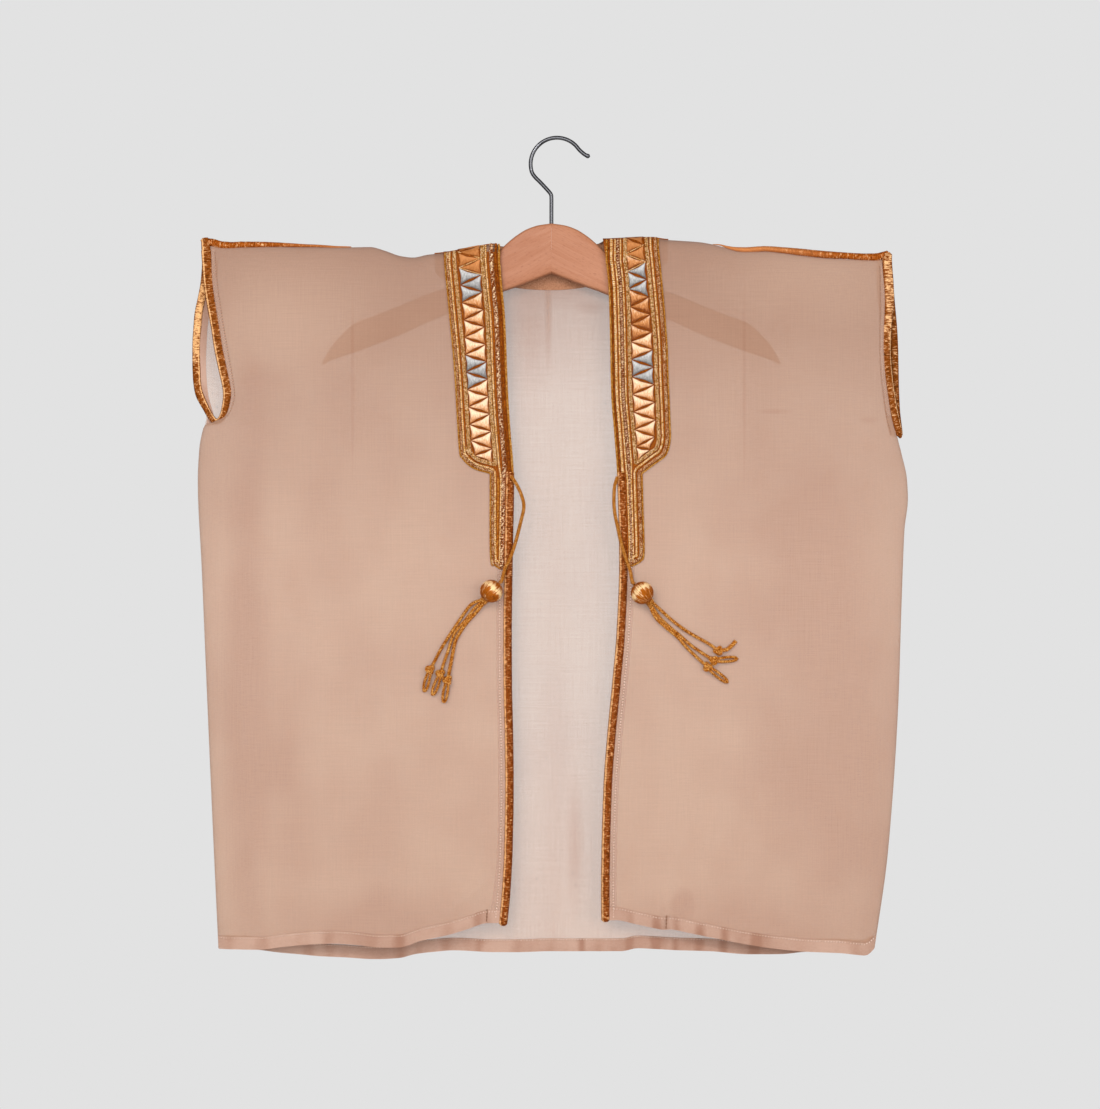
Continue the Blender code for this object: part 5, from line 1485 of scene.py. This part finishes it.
def make_shoulder_cord(side):
    """Gold piping along the shoulder's fold, joined to the sleeve's binding; its inner end thins out."""
    table = SHOULDER[side]
    middle, size = Profile(sorted(table), "x", "z"), Profile(sorted(table), "x", "radius")
    points = [Vector((x, 0.0, middle(x))) for x in drop(table[0].x, table[-1].x, 140)]
    route = even_route(with_directions(points), 0.9)
    count, length = len(route) - 1, run_of(route)

    def radius(v, angle):
        lump = noise.noise(Vector((v * 60, angle * 0.5, 4.0)))
        end = 0.5 + 0.5 * round_in(min(v * length / 1.2, (1 - v) * length / 3))
        return size(route[round(v * count)][0].x) * (0.96 + 0.05 * lump) * end

    piece = wrapped_grid("shoulder_piping_" + side, 18, count, along_route(route, radius), length)
    dress(piece, ["shoulder_piping"], "gold_cord", "shoulder_cord_" + side)


def before_cloth(spot):
    """Place of a free cord's point, standing off the cloth's outer face."""
    return Vector((spot.x, -(HALF_ROOM + WALL + spot.lift), spot.z))


def make_tie(side):
    """A free tie cord from the braid's neck edge to its bead, and the bead."""
    spots, bead = TIE[side], BEAD[side]
    route = smooth_route([before_cloth(spot) for spot in spots], TIE_CORD * 2)
    centre = before_cloth(bead)
    inward = (centre - route[-1]).normalized()
    route[-1] = centre - inward * (BEAD_RADIUS + GAP + TIE_CORD / 8)
    route[-2] = route[-1] - inward * TIE_CORD
    length = sum((b - a).length for a, b in zip(route, route[1:]))
    cord = Gathered()
    fine = even_route(with_directions(smooth_route(route, 0.6)), 0.4)
    for strand in strands_of(fine, 3, TIE_CORD * 0.25, 5.4):
        cord.sweep(strand, TIE_CORD * 0.305, 7)
    piece = dress(cord.make("tie_twist_" + side), ["tie_cord"], "gold_cord", "tie_cord_" + side)
    ball = make_bead(side, centre, inward)


def make_bead(side, centre, axis):
    """A wound bead: threads run from pole to pole over a ball and turn in at its hole."""
    ball = fresh(bpy.ops.mesh.primitive_uv_sphere_add, segments=144, ring_count=36, radius=1.0)
    ball.name = "wound_bead_" + side
    turn = axis.to_track_quat("Z", "Y").to_matrix()
    for vertex in ball.data.vertices:
        way = vertex.co.normalized()
        tilt = math.acos(max(-1.0, min(1.0, way.z)))
        round_angle = math.atan2(way.y, way.x) + 0.35 * math.cos(tilt)
        ridge = abs(math.sin(round_angle * 18)) ** 0.7 * math.sin(tilt)
        hole = max(0.0, 1 - min(tilt, math.pi - tilt) / 0.34)
        size = BEAD_RADIUS * (0.965 + 0.035 * ridge - 0.16 * ease(hole))
        vertex.co = (centre + turn @ (way * size)) * MM
    for loop, pair in zip(ball.data.loops, ball.data.uv_layers.active.data):
        pair.uv = (pair.uv[1] * 25.0, pair.uv[0] * 1.0)
    smooth(ball, 60)
    return dress(ball, ["gold_bead"], "gold_cord", "bead_" + side)


def make_tassel(side):
    """A collar under the bead with ribbed strands, tied knots and narrow loops."""
    strands, bead = TASSEL[side], BEAD[side]
    centre = before_cloth(bead)
    roots = [before_cloth(strand.route[0]) for strand in strands]
    middle = sum(roots, Vector()) / len(roots)
    away = (middle - centre).normalized()
    seat = centre + away * (BEAD_RADIUS + GAP + COLLAR_THICK / 2)
    body = Gathered()
    aside = away.cross(Vector((0, 1, 0))).normalized()
    deep = away.cross(aside)
    coil = []
    for i in range(73):
        angle = TURN * i / 24
        out = aside * math.cos(angle) + deep * math.sin(angle)
        coil.append((seat + out * (COLLAR_RADIUS - 1.2) + away * (i / 24 - 1.5) * 0.75, out))
    body.sweep(coil, 0.7, 6)
    for k, strand in enumerate(strands):
        points = [seat - away * 0.4 + (roots[k] - middle) * 0.5]
        points += [before_cloth(spot) for spot in strand.route[1:]]
        thick = 1.08 if side == "left" and k == 2 else 0.94
        fine = even_route(with_directions(smooth_route(points, 1.0)), 0.5)
        for part in strands_of(fine, 3, 0.6 * thick, 3.6):
            body.sweep(part, 0.72 * thick, 6, taper=0.8)
        knot, tip = points[-1], before_cloth(strand.tip)
        tie_knot(body, knot, (tip - knot).normalized(), k)
        end = even_route(with_directions(smooth_route(end_route(knot, tip, strand.looped), 0.8)), 0.5)
        wide = 0.68 if strand.looped else 0.95
        for part in strands_of(end, 2, wide * 0.74, 2.6):
            body.sweep(part, wide, 6, taper=0.7)
    dress(body.make("knotted_tassel_" + side), ["tassel_cord"], "gold_cord", "tassel_" + side)


def tie_knot(body, centre, axis, turn):
    """A tight overhand knot: one cord wound three ways through itself, over a small core."""
    aside = axis.cross(Vector((0, 1, 0))).normalized()
    deep = axis.cross(aside).normalized()
    ring = []
    for i in range(73):
        t = TURN * i / 72 + turn
        x, y, z = math.sin(t) + 2 * math.sin(2 * t), math.cos(t) - 2 * math.cos(2 * t), -math.sin(3 * t)
        ring.append(centre + (axis * x * 0.92 + aside * y * 0.86 + deep * z * 1.25))
    body.sweep(with_directions(ring), 1.2, 8)
    core = [(centre + axis * (s - 0.5) * 4.4, -deep) for s in (0, 0.25, 0.5, 0.75, 1)]
    body.sweep(core, 1.9, 8, taper=1.8)


def end_route(knot, tip, looped):
    """Past its knot a strand ends in a narrow loop that comes back, or in a bent tail."""
    reach = tip - knot
    aside = reach.cross(Vector((0, 1, 0))).normalized() * (LOOP_WIDTH / 2)
    if not looped:
        return [knot, knot + reach * 0.4 - aside * 1.4, knot + reach * 0.75 - aside * 0.8, tip]
    out = [knot + reach * 0.2 + aside * 0.7, knot + reach * 0.55 + aside, knot + reach * 0.88 + aside * 0.75]
    back = [knot + reach * 0.88 - aside * 0.75, knot + reach * 0.55 - aside, knot + reach * 0.2 - aside * 0.7]
    return [knot + aside * 0.5] + out + [tip] + back + [knot - aside * 0.5]


# ---- the hanger ----
def make_hanger_half(side):
    """One arm of the hanger: a rounded section that swells and tapers along the arm."""
    sign = -SIGN[side]
    top, low = Profile(WOOD, "out", "top"), Profile(WOOD, "out", "low")
    stations = [0.02] + drop(2.0, 158.0, 120) + [159.2, 159.9, 160.2]
    count = len(stations) - 1

    def place(u, v):
        out = stations[min(round(v * count), count)]
        high, deep = top(out), low(out)
        half = (high - deep) / 2
        angle = TURN * (u % 1.0)
        corner = min(WOOD_EDGE + 0.6, half)
        flat_y, flat_z = WOOD_THICK / 2 - corner, max(half - corner, 0.0)
        y, z = math.cos(angle), math.sin(angle)
        spread_y = math.copysign(min(abs(y) * 2.2, 1.0), y) * flat_y
        spread_z = math.copysign(min(abs(z) * 2.2, 1.0), z) * flat_z
        return Vector((HANGER_AXIS + sign * out, spread_y + y * corner, (high + deep) / 2 + spread_z + z * corner))

    piece = wrapped_grid("wooden_arm_" + side, 40, count, place, 170.0)
    dress(piece, ["beech_" + side], "hanger_wood", "hanger_" + side)


def make_hook():
    """Bent wire: stem, slant, a round hook and an outward tip with a rounded end."""
    centre = -(HOOK_RADIUS - WIRE / 2)
    points = [(HANGER_AXIS, 0, WOOD[0].top - 3.0), (HANGER_AXIS, 0, -50.0), (HANGER_AXIS, 0, -41.0),
              (HANGER_AXIS - 0.3, 0, -38.6), (HANGER_AXIS - 1.6, 0, -36.6), (-11.0, 0, -30.6), (-15.4, 0, -26.2)]
    for i in range(19):
        angle = math.radians(199 + (34 - 199) * i / 18)
        points.append((HOOK_RADIUS * math.cos(angle), 0, centre + HOOK_RADIUS * math.sin(angle)))
    points += [(17.7, 0, -9.0), (20.1, 0, -10.8), (22.3, 0, -11.7), (23.2, 0, -12.0)]
    route = even_route(with_directions(smooth_route(points, 1.5)), 0.8)
    length = run_of(route)

    def radius(v, angle):
        left = (1 - v) * length
        swell = 1.0 + 0.16 * math.exp(-((left - 1.4) / 1.2) ** 2)
        return WIRE / 2 * swell * max(round_in(left / 1.3), 0.12)

    piece = wrapped_grid("hook_wire", 20, len(route) - 1, along_route(route, radius), length)
    dress(piece, ["dark_chrome"], "hook_steel", "hanger_hook")


# ---- everything in order ----
def make_finishes():
    """Every finish by its name; a row gives its maker, its name, its colours from deep to pale, its settings."""
    peach, dusk, cream, white = (211, 172, 146), (199, 155, 129), (255, 226, 184), (1.0, 1.0, 1.0)
    # the cloth's painted shade: a darker colour and a closer weave towards the shoulders, and soft patches of
    # painted shade and painted light
    front = {"dim": rgb(172, 130, 108), "denser": (0.08, 0.0), "shades": PAINTED_SHADES_FRONT}
    back = {"dim": rgb(140, 102, 84), "denser": (0.2, 0.09), "flecks": True, "shades": PAINTED_SHADES_BACK, "reach": -180}
    thinned = {"fade": (132, 200, rgb(198, 124, 72))}
    made = {}
    for make, name, colours, *settings in (
            (cloth_finish, "voile_front", (peach, dusk), 0.53, front),
            (cloth_finish, "voile_back", (peach, dusk), 0.27, back),
            (cloth_finish, "voile_double", ((204, 166, 146), (172, 126, 104)), 0.84,
             {"shades": HEM_SPOTS, "blotches": 0.5}),
            (cloth_finish, "voile_edge", ((214, 177, 156), (202, 160, 138)), 0.3),
            (thread_finish, "sewing_thread", ((206, 172, 150), (232, 206, 190), (244, 226, 214)), {"shine": 0.6}),
            # the next two threads are dark for painted shade: the tuck's line is painted shadow, and the cuff's
            # stitches also paint shade
            (thread_finish, "tuck_thread", ((128, 88, 66), (146, 104, 80), (166, 122, 98)), {"shine": 0.6}),
            (thread_finish, "shade_thread", ((150, 108, 86), (170, 128, 104), (190, 150, 126)), {"shine": 0.6}),
            (thread_finish, "gold_rope", ((104, 38, 0), (194, 98, 4), (255, 230, 184)), 0.5, 3, {"sparkle": 1.3}),
            (thread_finish, "yellow_cord", ((140, 70, 0), (214, 128, 8), (255, 216, 130)), 0.5, 3),
            (thread_finish, "mottled_rope", ((92, 32, 0), (160, 74, 8), cream), 1.0, 3, {"sparkle": 1.4}),
            (thread_finish, "bright_lame", ((150, 74, 8), (240, 182, 104), cream), 1.1, 2, {"sparkle": 1.2}),
            (thread_finish, "copper_tube", ((84, 30, 0), (142, 60, 2), (204, 112, 26)), 0.6, 3, {"shine": 0.35}),
            (thread_finish, "old_gold_band", ((116, 48, 0), (190, 98, 4), (250, 186, 90))),
            (thread_finish, "gold_chain", ((104, 46, 2), (216, 146, 54), cream), 0.6, 3, {"sparkle": 1.4}),
            (thread_finish, "tie_cord", ((146, 78, 14), (204, 124, 40), (250, 200, 124)), 0.5, 4,
             {"sparkle": 0.6}),
            (thread_finish, "tassel_cord", ((134, 58, 0), (208, 116, 16), (255, 206, 122)), 0.45, 3),
            # the list in each wound finish's row gives its painted highlights
            (wound_finish, "gold_piping", ((70, 24, 0), (134, 58, 0), (248, 188, 128)), (1.1, 6), 0.9,
             [(0.37, 0.06, -20, 900, 0.17)], 0.8),
            (wound_finish, "binding_left", ((66, 26, 0), (132, 62, 0), (246, 188, 128)), (1.2, 5), 0.9,
             [(0.36, 0.045, -9, 186, 0.17), (0.27, 0.22, 182, 236, 0.15)], 0.9),
            (wound_finish, "binding_right", ((66, 26, 0), (132, 62, 0), (248, 194, 138)), (1.2, 5), 0.95,
             [(0.2, 0.17, -9, 60, 0.085), (0.08, 0.05, 54, 150, 0.17)], 0.9),
            (wound_finish, "shoulder_piping", ((100, 40, 0), (164, 78, 4), (246, 196, 142)), (1.2, 5), 0.95,
             [(0.06, 0.1, 3, 90, 0.14)], 0.8, thinned),
            (wound_finish, "gold_bead", ((70, 26, 0), (166, 84, 8), (255, 216, 160)), (0.1, 34), 0.75,
             [(0.5, 3.0, 9.5, 13.5, 0.26)], {"soft": 2.2}),
            (satin_finish, "pale_gold_satin", ((124, 50, 2), (202, 130, 72), (255, 222, 186)), 0.36),
            (satin_finish, "silver_satin", ((84, 78, 74), (132, 128, 126), (204, 202, 200)), 0.34, white),
            (satin_finish, "copper_satin", ((112, 50, 8), (168, 98, 42), (204, 132, 76)), 0.4),
            # the braid's ground and the pads' field are dark partly as painted shade between threads and pads
            (ground_finish, "braid_ground", ((76, 28, 0), (136, 62, 2), (206, 126, 30))),
            (ground_finish, "field_ground", ((70, 26, 0), (120, 52, 0), (184, 102, 20))),
            (ground_finish, "braid_reverse", ((128, 80, 54), (168, 118, 90), (196, 150, 124))),
            (wood_finish, "beech_left", (), 27.5, False), (wood_finish, "beech_right", (), -27.5, True),
            (steel_finish, "dark_chrome", ()), (floor_finish, "studio_floor", ())):
        options = settings.pop() if settings and isinstance(settings[-1], dict) else {}
        made[name] = make(name, *(rgb(*colour) for colour in colours), *settings, **options)
    return made


set_camera()
finishes = make_finishes()
cloths = make_cloths()
for side in ("left", "right"):
    make_tie(side)
    make_tassel(side)
make_cloth_pieces()
pad_shape = pad_template()
for side in ("left", "right"):
    make_front_braid(side)
    make_piping(side)
    make_binding(side)
    make_shoulder_cord(side)
    make_hanger_half(side)
make_neck_braid()
make_hook()
lay_floor()
set_lights()
